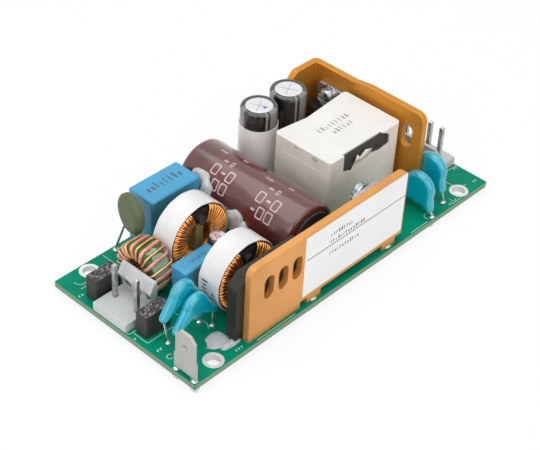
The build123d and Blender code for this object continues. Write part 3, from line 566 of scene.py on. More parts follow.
class SUPPLY_OT_board(bpy.types.Operator):
    """Circuit board: solder mask, mounting pads, solder at the legs and printed outlines"""

    bl_idname = "supply.board"
    bl_label = "Circuit board"

    def execute(self, context):
        look = context.scene.supply_board
        clad("circuit_board", board_finish(look))
        solder = finish("bright_solder", (0.66, 0.67, 0.68), 0.24, metal=0.9, grain=1200, vary=0.1)
        dress("solder_joints", "solder_joints_underside", solder, 0.12 * MM, 2)
        tops = bmesh.new()
        for x, y, reach in map(footprint, solids_of("solder_joints")):
            place = (x, y, BOARD_TOP + 0.15 * MM)
            add_peg(tops, place, reach * 0.95, 0.3 * MM, 20, max(0.1 * MM, reach - 0.5 * MM))
        link_piece("solder_on_top", tops, solder, "solder_joints", smooth=60)
        pad = finish("plated_pad", (0.74, 0.74, 0.72), 0.42, metal=0.35, grain=900, depth=0.03, vary=0.1)
        outer, inner, rim = MOUNT_HOLE + look.pad_reach, MOUNT_HOLE - 0.05 * MM, 0.06 * MM
        profile = ((outer, 0), (outer, BOARD_THICKNESS + rim), (inner, BOARD_THICKNESS + rim),
                   (inner, -rim), (outer, -rim), (outer, 0))
        pads = [
            spun(profile, (side_x * MOUNT_X, side_y * MOUNT_Y, BOARD_LOW.z), steps=40)
            for side_x in (-1, 1) for side_y in (-1, 1)
        ]
        link_piece("mounting_pads", joined(pads), pad, "solder_joints")
        self.print_outlines(look)
        return {"FINISHED"}

    def print_outlines(self, look):
        """The white ink: outlines and arcs round the components."""
        ink = finish("white_ink", look.ink, 0.6, grain=5000, depth=0.004, vary=0.06)
        lines = bmesh.new()
        half, low_z, high_z = look.ink_width / 2, BOARD_TOP + INK_LOW, BOARD_TOP + INK_HIGH
        for x, y, radius, start, turn in (
            (-54.6, -14.3, 0.7, 0.4, 4.6), (-43.2, -11.4, 3.0, -0.9, 2.5), (-44.4, -17.6, 1.9, 3.4, 4.2),
            (52.3, -18.4, 3.6, 1.4, 3.2), (33.0, -23.6, 1.1, 0.2, 3.6), (54.2, 1.5, 1.2, 0.0, 4.0),
            (-52.0, 21.4, 1.7, 3.0, 2.4), (44.0, -23.4, 0.8, 2.4, 3.4),
        ):
            inner = radius * MM
            add_ring(lines, (x * MM, y * MM, high_z), inner, inner + look.ink_width, 28, start, turn)
        for x0, y0, x1, y1 in (
            (-56.6, -1.9, -56.6, 11.3), (-56.6, -1.9, -45.6, -1.9), (-56.6, 11.3, -45.6, 11.3),
            (-41.5, 15.2, -34.2, 15.2), (-41.5, 15.2, -41.5, 24.6), (-43.2, -5.2, -43.2, -0.2),
            (-43.2, -5.2, -27.6, -5.2), (-54.8, 11.9, -46.4, 11.9), (-45.9, 11.9, -45.9, 17.0),
            (-55.4, -7.3, -46.0, -7.3), (-55.4, -7.3, -55.4, -2.2), (44.9, -14.6, 57.0, -14.6),
            (44.9, -14.6, 44.9, 4.6), (44.9, 4.6, 57.0, 4.6), (41.6, 8.0, 46.4, 8.0),
            (41.6, 11.5, 46.4, 11.5), (41.6, 8.0, 41.6, 11.5), (46.4, 8.0, 46.4, 11.5),
            (41.6, 14.5, 46.4, 14.5), (41.6, 18.0, 46.4, 18.0), (41.6, 14.5, 41.6, 18.0),
            (46.4, 14.5, 46.4, 18.0), (24.0, -24.9, 31.0, -24.9), (42.4, -24.8, 46.0, -24.8),
            (-35.5, -24.9, -22.0, -24.9), (-54.0, 18.6, -49.4, 18.6),
        ):
            add_box(lines, (x0 * MM - half, y0 * MM - half, low_z), (x1 * MM + half, y1 * MM + half, high_z))
        chance = random.Random(4)
        for x, y, count in (
            (-56.4, 16.8, 2), (-41.9, -23.8, 3), (50.5, 7.2, 3), (50.0, 13.0, 4), (54.3, -22.6, 2),
            (-56.8, -4.0, 1), (-55.6, -10.8, 2), (54.9, -15.2, 2), (41.2, -24.4, 2),
        ):
            for index in range(count):
                size = chance.uniform(0.45, 0.7) * MM
                left, foot = (x + index * 0.95) * MM, y * MM
                add_box(lines, (left, foot, low_z), (left + size, foot + 0.22 * MM, high_z))
                add_box(lines, (left, foot - 0.5 * MM, low_z), (left + 0.2 * MM, foot, high_z))
        link_piece("printed_outlines", lines, ink, "circuit_board")


class SUPPLY_OT_headers(bpy.types.Operator):
    """Pin headers at both ends: natural nylon housings and tinned square pins"""

    bl_idname = "supply.headers"
    bl_label = "Pin headers"

    def execute(self, context):
        nylon = finish("natural_nylon", (0.55, 0.57, 0.57), 0.42, grain=900, vary=0.04, patch=120, gleam=0.3)
        nylon.shade({"Subsurface Weight": 0.5, "Subsurface Radius": mm(1.8, 1.8, 1.6)})
        tin = finish("tinned_pins", (0.46, 0.46, 0.42), 0.34, metal=0.85, grain=2600, depth=0.03, vary=0.3,
                     patch=600)
        for end in ("input", "output"):
            dress(f"{end}_connector_housing", f"{end}_header_housing", nylon, 0.22 * MM)
            dress(f"{end}_connector_pins", f"{end}_header_pins", tin, 0.08 * MM, 2)
        return {"FINISHED"}


class SUPPLY_OT_fuses(bpy.types.Operator):
    """Box fuses: black moulded cases with a matt top"""

    bl_idname = "supply.fuses"
    bl_label = "Box fuses"

    def execute(self, context):
        black = finish("black_moulding", (0.040, 0.036, 0.033), 0.52, grain=3200, depth=0.05, vary=0.25,
                       patch=500, gleam=0.3)
        flecked(black, (0.20, 0.20, 0.20), 1500.0, 0.54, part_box("line_fuse")[1].z - 0.12 * MM)
        tin = bare_metal("fuse_legs")
        for side in ("line", "neutral"):
            dress(f"{side}_fuse", f"{side}_fuse_case", black, 0.25 * MM, legs=tin)
        return {"FINISHED"}


class SUPPLY_OT_earth_tab(bpy.types.Operator):
    """Earth blade: tinned sheet with stamped edges"""

    bl_idname = "supply.earth_tab"
    bl_label = "Earth blade"

    def execute(self, context):
        tin = finish("tinned_sheet", (0.46, 0.46, 0.44), 0.42, metal=0.6, grain=1500, depth=0.015, vary=0.08,
                     stretch=(1, 1, 0.15))
        dress("earth_tab", "earth_blade", tin, 0.16 * MM)
        return {"FINISHED"}


class SUPPLY_OT_disc_capacitors(bpy.types.Operator):
    """Disc capacitors: a thick glossy dipped coating that runs down both legs"""

    bl_idname = "supply.disc_capacitors"
    bl_label = "Disc capacitors"

    def execute(self, context):
        coating = context.scene.supply_capacitors.coating
        blue = finish("blue_dipped_coating", coating, 0.22, coat=0.9, grain=420, depth=0.12, vary=0.14,
                      patch=200)
        tin = bare_metal("disc_legs", (0.66, 0.66, 0.65))
        for place in ("input_disc_capacitor_back", "input_disc_capacitor_front",
                      "output_disc_capacitor_front", "output_disc_capacitor_back"):
            softened(dress(place, place + "_coating", blue, legs=tin), 20)
        return {"FINISHED"}


class SUPPLY_OT_thermistor(bpy.types.Operator):
    """Thermistor: a matt olive disc on two long legs"""

    bl_idname = "supply.thermistor"
    bl_label = "Thermistor"

    def execute(self, context):
        olive = finish("olive_dipped_coating", (0.105, 0.132, 0.062), 0.55, grain=1500, depth=0.05, patch=260,
                       gleam=0.25)
        lead = finish("thermistor_legs", (0.30, 0.30, 0.29), 0.35, metal=0.8)
        softened(dress("thermistor", "thermistor_disc", olive, legs=lead), 10)
        return {"FINISHED"}


class SUPPLY_OT_small_choke(bpy.types.Operator):
    """Small choke: a green coated ring with a thick salmon and a thin gold wire, turn by turn"""

    bl_idname = "supply.small_choke"
    bl_label = "Small choke"

    def execute(self, context):
        look = context.scene.supply_windings
        green = finish("green_core_coating", (0.045, 0.125, 0.035), 0.45, grain=900, depth=0.06, vary=0.3,
                       patch=240, gleam=0.3)
        flecked(green, (0.28, 0.40, 0.30), 130.0, 0.60)
        dress("small_choke_core", "small_choke_ring", green, 1.1 * MM, 5)
        low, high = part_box("small_choke_winding_a")
        core_low, core_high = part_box("small_choke_core")
        centre = (low + high) / 2
        centre.z = (core_low.z + core_high.z) / 2
        outer, half = (high.y - low.y) / 2, (high.x - low.x) / 2
        turns, first, sweep, corner = 10, 186, 340, 0.7 * MM
        chance = random.Random(3)
        for node, wire, surface, shift in (
            ("small_choke_winding_a", look.thick_wire, wire_finish("salmon_wire", look.salmon, 0.1), 0.0),
            ("small_choke_winding_b", look.thin_wire, wire_finish("gold_wire", look.gold, 0.5), 17.0),
        ):
            radius = wire / 2
            path = section_turn(SMALL_CHOKE_BORE + radius, outer - radius, half - radius, corner)
            points = []
            for index in range(turns):
                sway = chance.uniform(-2.5, 2.5)
                for step, (out, across) in enumerate(path):
                    angle = math.radians(first + shift + sway + (index + step / len(path)) * sweep / turns)
                    points.append((centre.x + across, centre.y - out * math.sin(angle),
                                   centre.z + out * math.cos(angle)))
            wire_piece(node + "_wire", points, wire, surface, node)
        return {"FINISHED"}


class SUPPLY_OT_large_chokes(bpy.types.Operator):
    """Common mode chokes: black cased rings, copper turns, a divider and a tape band"""

    bl_idname = "supply.large_chokes"
    bl_label = "Common mode chokes"

    def execute(self, context):
        look = context.scene.supply_windings
        black = finish("black_choke_case", (0.02, 0.02, 0.02), 0.4, grain=1500, depth=0.03, vary=0.2)
        card = finish("divider_card", (0.34, 0.27, 0.10), 0.5, grain=1800, depth=0.03, vary=0.15)
        tape = tape_finish("white_choke_tape", (0.78, 0.775, 0.77), 0.3)
        ink = finish("dark_tape_ink", (0.05, 0.05, 0.055), 0.5)
        copper = wire_finish("copper_wire", look.copper, 0.9)
        for prefix in ("back_choke", "front_choke"):
            dress(prefix + "_case", prefix + "_cased_ring", black, 0.35 * MM)
            dress(prefix + "_divider", prefix + "_divider_card", card, 0.15 * MM, 2)
            self.band(prefix, tape, ink)
            self.wind(prefix, look, copper)
        return {"FINISHED"}

    def swell(self, angle):
        """How far the band stands out at an angle, over the turns that it lies on."""
        facet = math.tau / BAND_FACETS
        off = (angle + facet / 2) % facet - facet / 2
        return 1.0 + (1 / math.cos(off) - 1) * BAND_SHARPNESS

    def band(self, prefix, tape, ink):
        """The tape round the rim, drawn over the turns in soft facets, with plain bars on it."""
        node = prefix + "_band"
        low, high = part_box(node)
        centre = (low + high) / 2
        rim, half = (high.x - low.x) / 2, (high.y - low.y) / 2
        wall = rim - BAND_WALL
        profile = ((wall, -half), (rim, -half), (rim, half), (wall, half), (wall, -half))
        bm = spun(profile, (0, 0, 0), (0, 1, 0), 112)
        for vert in bm.verts:
            swell = self.swell(math.atan2(vert.co.z, vert.co.x))
            vert.co = Vector((vert.co.x * swell, vert.co.y, vert.co.z * swell)) + centre
        rounded(link_piece(prefix + "_tape_band", bm, tape, node, True, smooth=50), 0.08 * MM, 2)
        bars = bmesh.new()
        for across, degrees, length in (
            (1.3, 171, 2.0), (1.3, 178, 1.2), (1.5, 185, 1.6), (1.3, 192, 2.0), (-1.6, 188, 1.2),
            (-1.4, 195, 2.0),
        ):
            angle = math.radians(degrees)
            face = rim * self.swell(angle)
            made = add_box(bars, (face - 0.05 * MM, (across - length / 2) * MM, -0.22 * MM),
                           (face + 0.02 * MM, (across + length / 2) * MM, 0.22 * MM))
            bmesh.ops.rotate(bars, cent=(0, 0, 0), matrix=Matrix.Rotation(-angle, 3, "Y"), verts=made)
        bmesh.ops.translate(bars, vec=centre, verts=bars.verts)
        link_piece(prefix + "_tape_bars", bars, ink, node)

    def wind(self, prefix, look, copper):
        """Two windings of round wire in two layers where the ring is narrow, with their leg ends."""
        low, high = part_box(prefix + "_case")
        radius = look.wire / 2
        centre_x, centre_z = (low.x + high.x) / 2, (low.z + high.z) / 2
        outer, inner = (high.x - low.x) / 2 + CHOKE_REACH - radius, CHOKE_BORE - radius
        corner, leg, leg_length = 0.9 * MM, 0.38 * MM, 2.6 * MM
        for side, first, leg_x in (("left", 109.0, -4 * MM), ("right", -71.0, 4 * MM)):
            node = f"{prefix}_winding_{side}"
            wound_low, wound_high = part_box(node)
            centre_y, wound = (wound_low.y + wound_high.y) / 2, (wound_high.y - wound_low.y) / 2
            points = []
            chance = random.Random(len(prefix) + int(first))
            for index in range(look.turns):
                layer = index % 2
                sunk = inner - layer * look.wire * 0.85
                face = wound - radius - ((1 - layer) * 0.5 + chance.uniform(0.0, 0.35)) * look.wire
                sway = chance.uniform(-0.5, 0.5)
                path = section_turn(sunk, outer, face, corner)
                for step, (out, across) in enumerate(path):
                    angle = math.radians(first + sway + (index + step / len(path)) * CHOKE_SWEEP / look.turns)
                    points.append((centre_x + out * math.cos(angle), centre_y + across,
                                   centre_z + out * math.sin(angle)))
            wire_piece(node + "_wire", points, look.wire, copper, node)
            legs = bmesh.new()
            for cross in (-1, 1):
                place = (centre_x + leg_x, centre_y + cross * (wound - 0.4 * MM), BOARD_TOP + 0.9 * MM)
                add_peg(legs, place, leg, leg_length, 16)
            link_piece(f"{prefix}_{side}_leg_ends", legs, copper, node)


class SUPPLY_OT_box_capacitors(bpy.types.Operator):
    """Box capacitors: blue moulded cases with soft corners"""

    bl_idname = "supply.box_capacitors"
    bl_label = "Box capacitors"

    def execute(self, context):
        case = context.scene.supply_capacitors.case
        blue = finish("blue_moulding", case, 0.36, coat=0.15, grain=2600, vary=0.05, patch=120)
        tin = bare_metal("box_legs")
        for size in ("large", "small"):
            dress(f"{size}_box_capacitor", f"{size}_box_capacitor_case", blue, 0.45 * MM, 4, legs=tin)
        dark = finish("printed_dashes", (0.05, 0.12, 0.20), 0.5, grain=4000, depth=0.004, vary=0.3, patch=900)
        dashes = bmesh.new()
        add_dashes(dashes, (-29.4, 19.7, 20.2), 8, 1.55, 2.6, 1, 5)
        add_dashes(dashes, (-37.0, -3.1, 15.3), 8, 0.75, 1.1, 1, 6)
        link_piece("box_capacitor_dashes", dashes, dark, "large_box_capacitor")
        return {"FINISHED"}


class SUPPLY_OT_bulk_capacitor(bpy.types.Operator):
    """Bulk capacitor: a maroon shrink sleeve drawn over the ends, with plain pale marks"""

    bl_idname = "supply.bulk_capacitor"
    bl_label = "Bulk capacitor"

    def execute(self, context):
        look = context.scene.supply_capacitors
        low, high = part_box("bulk_capacitor_sleeve")
        radius, length = (high.z - low.z) / 2, high.y - low.y
        centre = Vector(((low.x + high.x) / 2, low.y, (low.z + high.z) / 2))
        maroon = finish("maroon_shrink_sleeve", look.maroon, 0.22, coat=0.7, grain=260, depth=0.10, vary=0.14,
                        patch=90)
        near = ((2.4, 0.05), (2.2, 0.0), (1.5, 0.0), (0.75, 0.2), (0.2, 0.75), (0.03, 1.5))
        far = ((0.03, 1.5), (0.2, 0.75), (0.75, 0.2), (1.5, 0.0), (2.6, 0.0), (2.8, 0.25))
        profile = [(radius - depth * MM, run * MM) for depth, run in near]
        profile += [(radius - depth * MM, length - run * MM) for depth, run in far]
        profile.append((0, length - 0.3 * MM))
        sleeve = spun(profile, centre, (0, 1, 0))
        link_piece("bulk_capacitor_shrink_sleeve", sleeve, maroon, "bulk_capacitor_sleeve", True, smooth=50)
        dress("bulk_capacitor_can", "bulk_capacitor_aluminium", bare_metal("bulk_can"))
        rubber = finish("black_bung", (0.02, 0.02, 0.02), 0.6, grain=1500, depth=0.03)
        dress("bulk_capacitor_bung", "bulk_capacitor_rubber", rubber, 0.2 * MM)
        dress("bulk_capacitor_legs", "bulk_capacitor_wires", bare_metal("bulk_legs"), 0.05 * MM)
        self.mark(look, centre, radius)
        return {"FINISHED"}

    def mark(self, look, centre, radius):
        """Plain pale marks: open rounded frames and short bars, twice along the sleeve."""
        paint = finish("pale_sleeve_marks", look.mark, 0.45, grain=2500, depth=0.01, vary=0.2, patch=500)
        marks = bmesh.new()
        for start in (8.2, 24.4):
            for along, angle, width, height, line in (
                (0.0, 58, 2.3, 1.6, 0.36), (2.5, 58, 1.3, 0.3, 0.3), (5.2, 58, 2.3, 1.6, 0.36),
                (0.2, 34, 2.3, 1.6, 0.36), (3.0, 34, 2.3, 1.6, 0.36), (5.5, 34, 1.3, 0.3, 0.3),
                (2.2, 80, 0.9, 0.9, 0.24), (4.4, 80, 1.4, 0.3, 0.24), (7.6, 96, 2.4, 0.3, 0.24),
                (1.0, 104, 1.6, 0.3, 0.24), (9.6, 6, 2.6, 1.5, 0.26), (13.2, 6, 1.4, 0.9, 0.24),
                (5.0, -12, 4.2, 0.3, 0.24),
            ):
                self.frame_mark(marks, centre, radius, start + along, 180 - angle, width, height, line)
        bmesh.ops.recalc_face_normals(marks, faces=marks.faces)
        link_piece("bulk_capacitor_marks", marks, paint, "bulk_capacitor_sleeve", smooth=60)

    def frame_mark(self, bm, centre, radius, along, angle, width, height, line):
        """One open frame with round corners, laid on the sleeve."""
        outer = bmesh.ops.create_circle(bm, cap_ends=False, segments=24, radius=1.0)["verts"]
        edges = list({edge for vert in outer for edge in vert.link_edges})
        ring = bmesh.ops.extrude_edge_only(bm, edges=edges)
        inner = [item for item in ring["geom"] if isinstance(item, bmesh.types.BMVert)]
        for group, cut in ((outer, 0.0), (inner, line)):
            for vert in group:
                x, y = vert.co.x, vert.co.y
                swell = (abs(x) ** FRAME_POWER + abs(y) ** FRAME_POWER) ** (-1 / FRAME_POWER)
                across = x * swell * max(0.0, height - cut)
                run = y * swell * max(0.0, width / 2 - cut)
                turn = math.radians(angle) + across * MM / radius
                vert.co = Vector((centre.x + radius * math.cos(turn), centre.y + (along + run) * MM,
                                  centre.z + radius * math.sin(turn)))


class SUPPLY_OT_upright_capacitors(bpy.types.Operator):
    """Upright capacitors: scored aluminium tops, striped black sleeves and a wrap of white tape"""

    bl_idname = "supply.upright_capacitors"
    bl_label = "Upright capacitors"

    def execute(self, context):
        silver = finish("drawn_aluminium", (0.74, 0.74, 0.76), 0.34, metal=0.45, grain=1400, depth=0.015,
                        vary=0.05)
        tape = tape_finish("white_wrap", (0.88, 0.85, 0.84), 0.2)
        tall = ("output_capacitor_first", "output_capacitor_second")
        for name in (*tall, "small_capacitor"):
            self.sleeve(name, silver)
        for name in tall:
            foot, radius, height = upright_body(name + "_tape")
            inner, outer = radius - 0.2 * MM, radius - 0.03 * MM
            profile = ((inner, 0), (outer, 0), (radius - 0.02 * MM, height * 0.3), (outer, height),
                       (inner, height))
            link_piece(name + "_white_wrap", spun(profile, foot), tape, name + "_tape", True, smooth=50)
        self.ink()
        return {"FINISHED"}

    def ink(self):
        """A dab of purple ink on the first top, and a plain red pattern on the small one."""
        dab, arcs = bmesh.new(), bmesh.new()
        add_peg(dab, mm(10.9, 18.1, 28.38), 0.55 * MM, 0.03 * MM, 24, 0.5 * MM)
        purple = finish("purple_ink", (0.20, 0.17, 0.55), 0.5)
        link_piece("output_capacitor_ink", dab, purple, "output_capacitor_first_can")
        for radius, start, turn in ((1.5, 0.3, 1.6), (1.5, 2.6, 1.2), (1.5, 4.5, 1.1), (0.6, 1.0, 4.4)):
            add_ring(arcs, mm(-25.3, -0.75, 16.19), radius * MM, (radius + 0.28) * MM, 16, start, turn)
        bmesh.ops.recalc_face_normals(arcs, faces=arcs.faces)
        red = finish("red_pattern", (0.62, 0.12, 0.14), 0.5)
        link_piece("small_capacitor_pattern", arcs, red, "small_capacitor_can")

    def sleeve(self, name, silver):
        """One can with its scored top, its sleeve and its legs."""
        foot, radius, height = upright_body(name + "_sleeve")
        if name == "small_capacitor":
            lip = 0.5 * MM
            black = finish("small_sleeve", (0.03, 0.03, 0.035), 0.35, coat=0.4, grain=600, depth=0.03)
        else:
            lip = 1.3 * MM
            stripes = ((-80.0, 0.34), (-112.0, 0.06), (160.0, 0.22))
            black = striped_sleeve_finish(name + "_striped_sleeve", foot, (0.010, 0.009, 0.009),
                                          (0.20, 0.19, 0.18), stripes)
        crown = radius - lip
        profile = [(0, 0.1 * MM)]
        profile += [(radius - depth * MM, rise * MM) for depth, rise in (
            (0.3, 0.0), (0.0, 0.4), (0.0, 1.4), (0.32, 2.0), (0.32, 2.3), (0.0, 2.9))]
        profile += [(radius - depth * MM, height - drop * MM) for depth, drop in (
            (0.0, 0.75), (0.18, 0.3), (0.5, 0.06))]
        profile += [(radius - lip * 0.8, height), (crown, height - 0.05 * MM), (crown, height - 0.4 * MM)]
        link_piece(name + "_shrink_sleeve", spun(profile, foot), black, name + "_sleeve", True, smooth=50)
        deck = height - 0.18 * MM
        profile = ((0, deck - 0.04 * MM), (crown * 0.8, deck), (crown * 0.93, deck - 0.02 * MM),
                   (crown, deck - 0.12 * MM), (crown + 0.1 * MM, deck - 0.3 * MM), (crown, deck - 0.6 * MM))
        link_piece(name + "_top", spun(profile, foot, steps=64), silver, name + "_can", True, smooth=40)
        score = bmesh.new()
        reach, half = crown * 0.72, 0.09 * MM
        for turn in (0.0, math.pi / 2):
            verts = add_box(score, (-reach, -half, deck - 0.05 * MM), (reach, half, deck + 0.005 * MM))
            bmesh.ops.rotate(score, cent=(0, 0, 0), matrix=Matrix.Rotation(turn + 0.5, 3, "Z"), verts=verts)
        bmesh.ops.translate(score, vec=foot, verts=score.verts)
        # Painted shade: the score lines are darker metal strips standing in for the shade in the grooves.
        score_shade = finish(name + "_score", (0.40, 0.40, 0.41), 0.4, metal=0.8)
        link_piece(name + "_score_lines", score, score_shade, name + "_can")
        legs = bmesh.new()
        for x, y, _ in map(footprint, solids_of(name + "_can")[1:]):
            add_peg(legs, (x, y, (BOARD_TOP + BOARD_LOW.z) / 2), 0.28 * MM, BOARD_THICKNESS, 12)
        link_piece(name + "_legs", legs, silver, name + "_can")


class SUPPLY_OT_heatsinks(bpy.types.Operator):
    """Heatsinks: gold anodised sheet with eased edges, and the bare label"""

    bl_idname = "supply.heatsinks"
    bl_label = "Heatsinks"

    def execute(self, context):
        look = context.scene.supply_heatsinks
        front = anodised_finish("gold_anodised_sheet", look.anodise, 0.3)
        # Painted shade: the rear sheet gets a darker, more saturated copy of the front's anodise.
        rear = anodised_finish("gold_anodised_sheet_painted_shade", look.rear_anodise_painted_shade, 0.45)
        dress("front_heatsink", "front_heatsink_sheet", front, look.edge)
        dress("rear_heatsink", "rear_heatsink_sheet", rear, look.edge)
        paper = finish("label_paper", (0.84, 0.84, 0.84), 0.5, grain=1500, depth=0.006, vary=0.02, patch=60,
                       gleam=0.2)
        dress("front_label", "front_label_face", paper)
        low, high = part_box("front_label")
        ink = finish("label_rule", (0.07, 0.07, 0.08), 0.6)
        rule = bmesh.new()
        add_box(rule, (low.x + 0.8 * MM, low.y - 0.012 * MM, low.z + 11.5 * MM),
                (high.x - 0.1 * MM, low.y + 0.01 * MM, low.z + 11.75 * MM))
        for z, count, seed in ((21.0, 9, 1), (18.9, 14, 2), (15.2, 12, 3)):
            add_dashes(rule, (-9.6, low.y / MM, z), count, 0.95, 1.1, 2, seed)
        link_piece("front_label_lines", rule, ink, "front_label")
        return {"FINISHED"}


class SUPPLY_OT_power_devices(bpy.types.Operator):
    """Bridge rectifier, power transistor and output rectifier, with their screws"""

    bl_idname = "supply.power_devices"
    bl_label = "Power devices"

    def execute(self, context):
        black = finish("black_epoxy", (0.030, 0.027, 0.027), 0.5, grain=2600, depth=0.035, vary=0.15,
                       gleam=0.3)
        bridge = finish("bridge_epoxy", (0.027, 0.024, 0.021), 0.45, grain=2600, depth=0.03, gleam=0.25)
        tin = bare_metal("device_legs", (0.6, 0.6, 0.58))
        steel = finish("zinc_plated_steel", (0.36, 0.42, 0.43), 0.26, metal=0.95, grain=1200, depth=0.03,
                       vary=0.75, patch=650)
        dress("bridge_rectifier", "bridge_rectifier_case", bridge, 0.2 * MM, legs=tin)
        tab = finish("nickel_tab", (0.40, 0.39, 0.40), 0.4, metal=0.8, grain=900, vary=0.15)
        for node in ("power_transistor", "output_rectifier"):
            case = dress(node, node + "_case", black, 0.2 * MM, 2, legs=tin)
            case.data.materials.append(tab.material)
            tab_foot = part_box(node)[1].z - TAB_DROP
            for face in case.data.polygons:
                if face.center.z > tab_foot:
                    face.material_index = 1
        dress("heatsink_screws", "heatsink_screw_heads", steel, 0.15 * MM)
        return {"FINISHED"}


class SUPPLY_OT_transformer(bpy.types.Operator):
    """Transformer: ferrite core and bobbin under a cover of white tape, torn open at one edge"""

    bl_idname = "supply.transformer"
    bl_label = "Transformer"

    def execute(self, context):
        low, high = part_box("transformer_tape")
        # Painted shade: below the top edge the tape takes a darker, warmer colour than on top.
        tape = tape_cover_with_painted_shade("white_transformer_tape", (0.83, 0.82, 0.79), (0.84, 0.79, 0.73),
                                 high.z - 0.5 * MM)
        ferrite = finish("sintered_ferrite", (0.035, 0.030, 0.024), 0.42, grain=1600, depth=0.05, vary=0.6,
                         patch=420)
        bobbin = finish("moulded_bobbin", (0.02, 0.02, 0.02), 0.45, grain=1500, depth=0.03)
        copper = wire_finish("transformer_wire", (0.7, 0.3, 0.08))
        tin = bare_metal("transformer_legs")
        for part, name, surface, edge, segments in (
            ("core", "core_halves", ferrite, 0.3, 2), ("bobbin", "bobbin_moulding", bobbin, 0.15, 2),
            ("pin_rails", "pin_rail_moulding", bobbin, 0.15, 2), ("winding", "coil", copper, 0.1, 2),
            ("pins", "pin_wires", tin, 0.05, 2), ("tape", "tape_cover", tape, 0.35, 4),
        ):
            dress("transformer_" + part, "transformer_" + name, surface, edge * MM, segments)
        glue = finish("dried_glue", (0.62, 0.60, 0.40), 0.35, coat=0.3, grain=600, depth=0.05)
        dabs = bmesh.new()
        for y, z, size in ((-3.4, 24.7, 0.8), (3.3, 25.0, 0.6)):
            made = bmesh.ops.create_icosphere(dabs, subdivisions=3, radius=size * MM)
            bmesh.ops.scale(dabs, vec=(0.12, 1.3, 0.9), verts=made["verts"])
            bmesh.ops.translate(dabs, vec=(low.x, y * MM, z * MM), verts=made["verts"])
        link_piece("transformer_glue_dabs", dabs, glue, "transformer_tape")
        ends = bmesh.new()
        for y0, y1, z0, z1 in ((-6.4, 8.2, 21.45, 21.62), (-8.2, 8.4, 13.0, 13.1)):
            add_box(ends, (low.x - 0.05 * MM, y0 * MM, z0 * MM), (low.x, y1 * MM, z1 * MM))
        link_piece("transformer_tape_ends", ends, tape, "transformer_tape")
        self.flap(low.y, tape)
        dashes = bmesh.new()
        for x, y, count, seed in ((15.9, 2.4, 9, 8), (18.6, -0.4, 6, 9)):
            add_dashes(dashes, (x, y, high.z / MM), count, 1.35, 1.6, 1, seed)
        pale_ink = finish("pale_ink", (0.36, 0.34, 0.30), 0.6)
        link_piece("transformer_dashes", dashes, pale_ink, "transformer_tape")
        return {"FINISHED"}

    def flap(self, face, tape):
        """A torn scrap of tape that stands up into the window."""
        bm = bmesh.new()
        outline = ((16.9, 21.2), (18.2, 23.6), (19.3, 22.3), (21.4, 23.7), (24.2, 22.8), (23.0, 21.2),
                   (20.2, 20.8))
        bm.faces.new([bm.verts.new((x * MM, face - 0.04 * MM, z * MM)) for x, z in outline])
        scrap = link_piece("transformer_torn_flap", bm, tape, "transformer_tape")
        depth = scrap.modifiers.new("Thickness", "SOLIDIFY")
        depth.thickness = 0.1 * MM
        depth.offset = 0.0


class SUPPLY_OT_silicone(bpy.types.Operator):
    """Beads of clear silicone that hold the tall components to the board"""

    bl_idname = "supply.silicone"
    bl_label = "Silicone beads"

    def execute(self, context):
        clear = finish("clear_silicone", (0.88, 0.91, 0.92), 0.25, grain=500, depth=0.05, vary=0.04,
                       patch=150)
        clear.shade({"Transmission Weight": 0.4, "IOR": 1.25})
        beads = bmesh.new()
        for index, (centre, size) in enumerate((
            ((-42.7, -18.2, 3.4), (3.0, 2.9, 0.6)), ((-40.9, -21.3, 3.4), (3.2, 1.1, 0.9)),
            ((-13.1, 17.6, 17.4), (1.5, 3.4, 3.0)), ((-14.0, 14.6, 13.6), (1.7, 2.3, 5.6)),
            ((-14.6, 3.4, 12.0), (1.7, 3.4, 4.0)), ((-14.9, 0.2, 8.8), (1.7, 2.6, 5.0)),
        )):
            add_blob(beads, mm(*centre), mm(*size), index)
        link_piece("silicone_beads", beads, clear, "circuit_board", smooth=80)
        return {"FINISHED"}


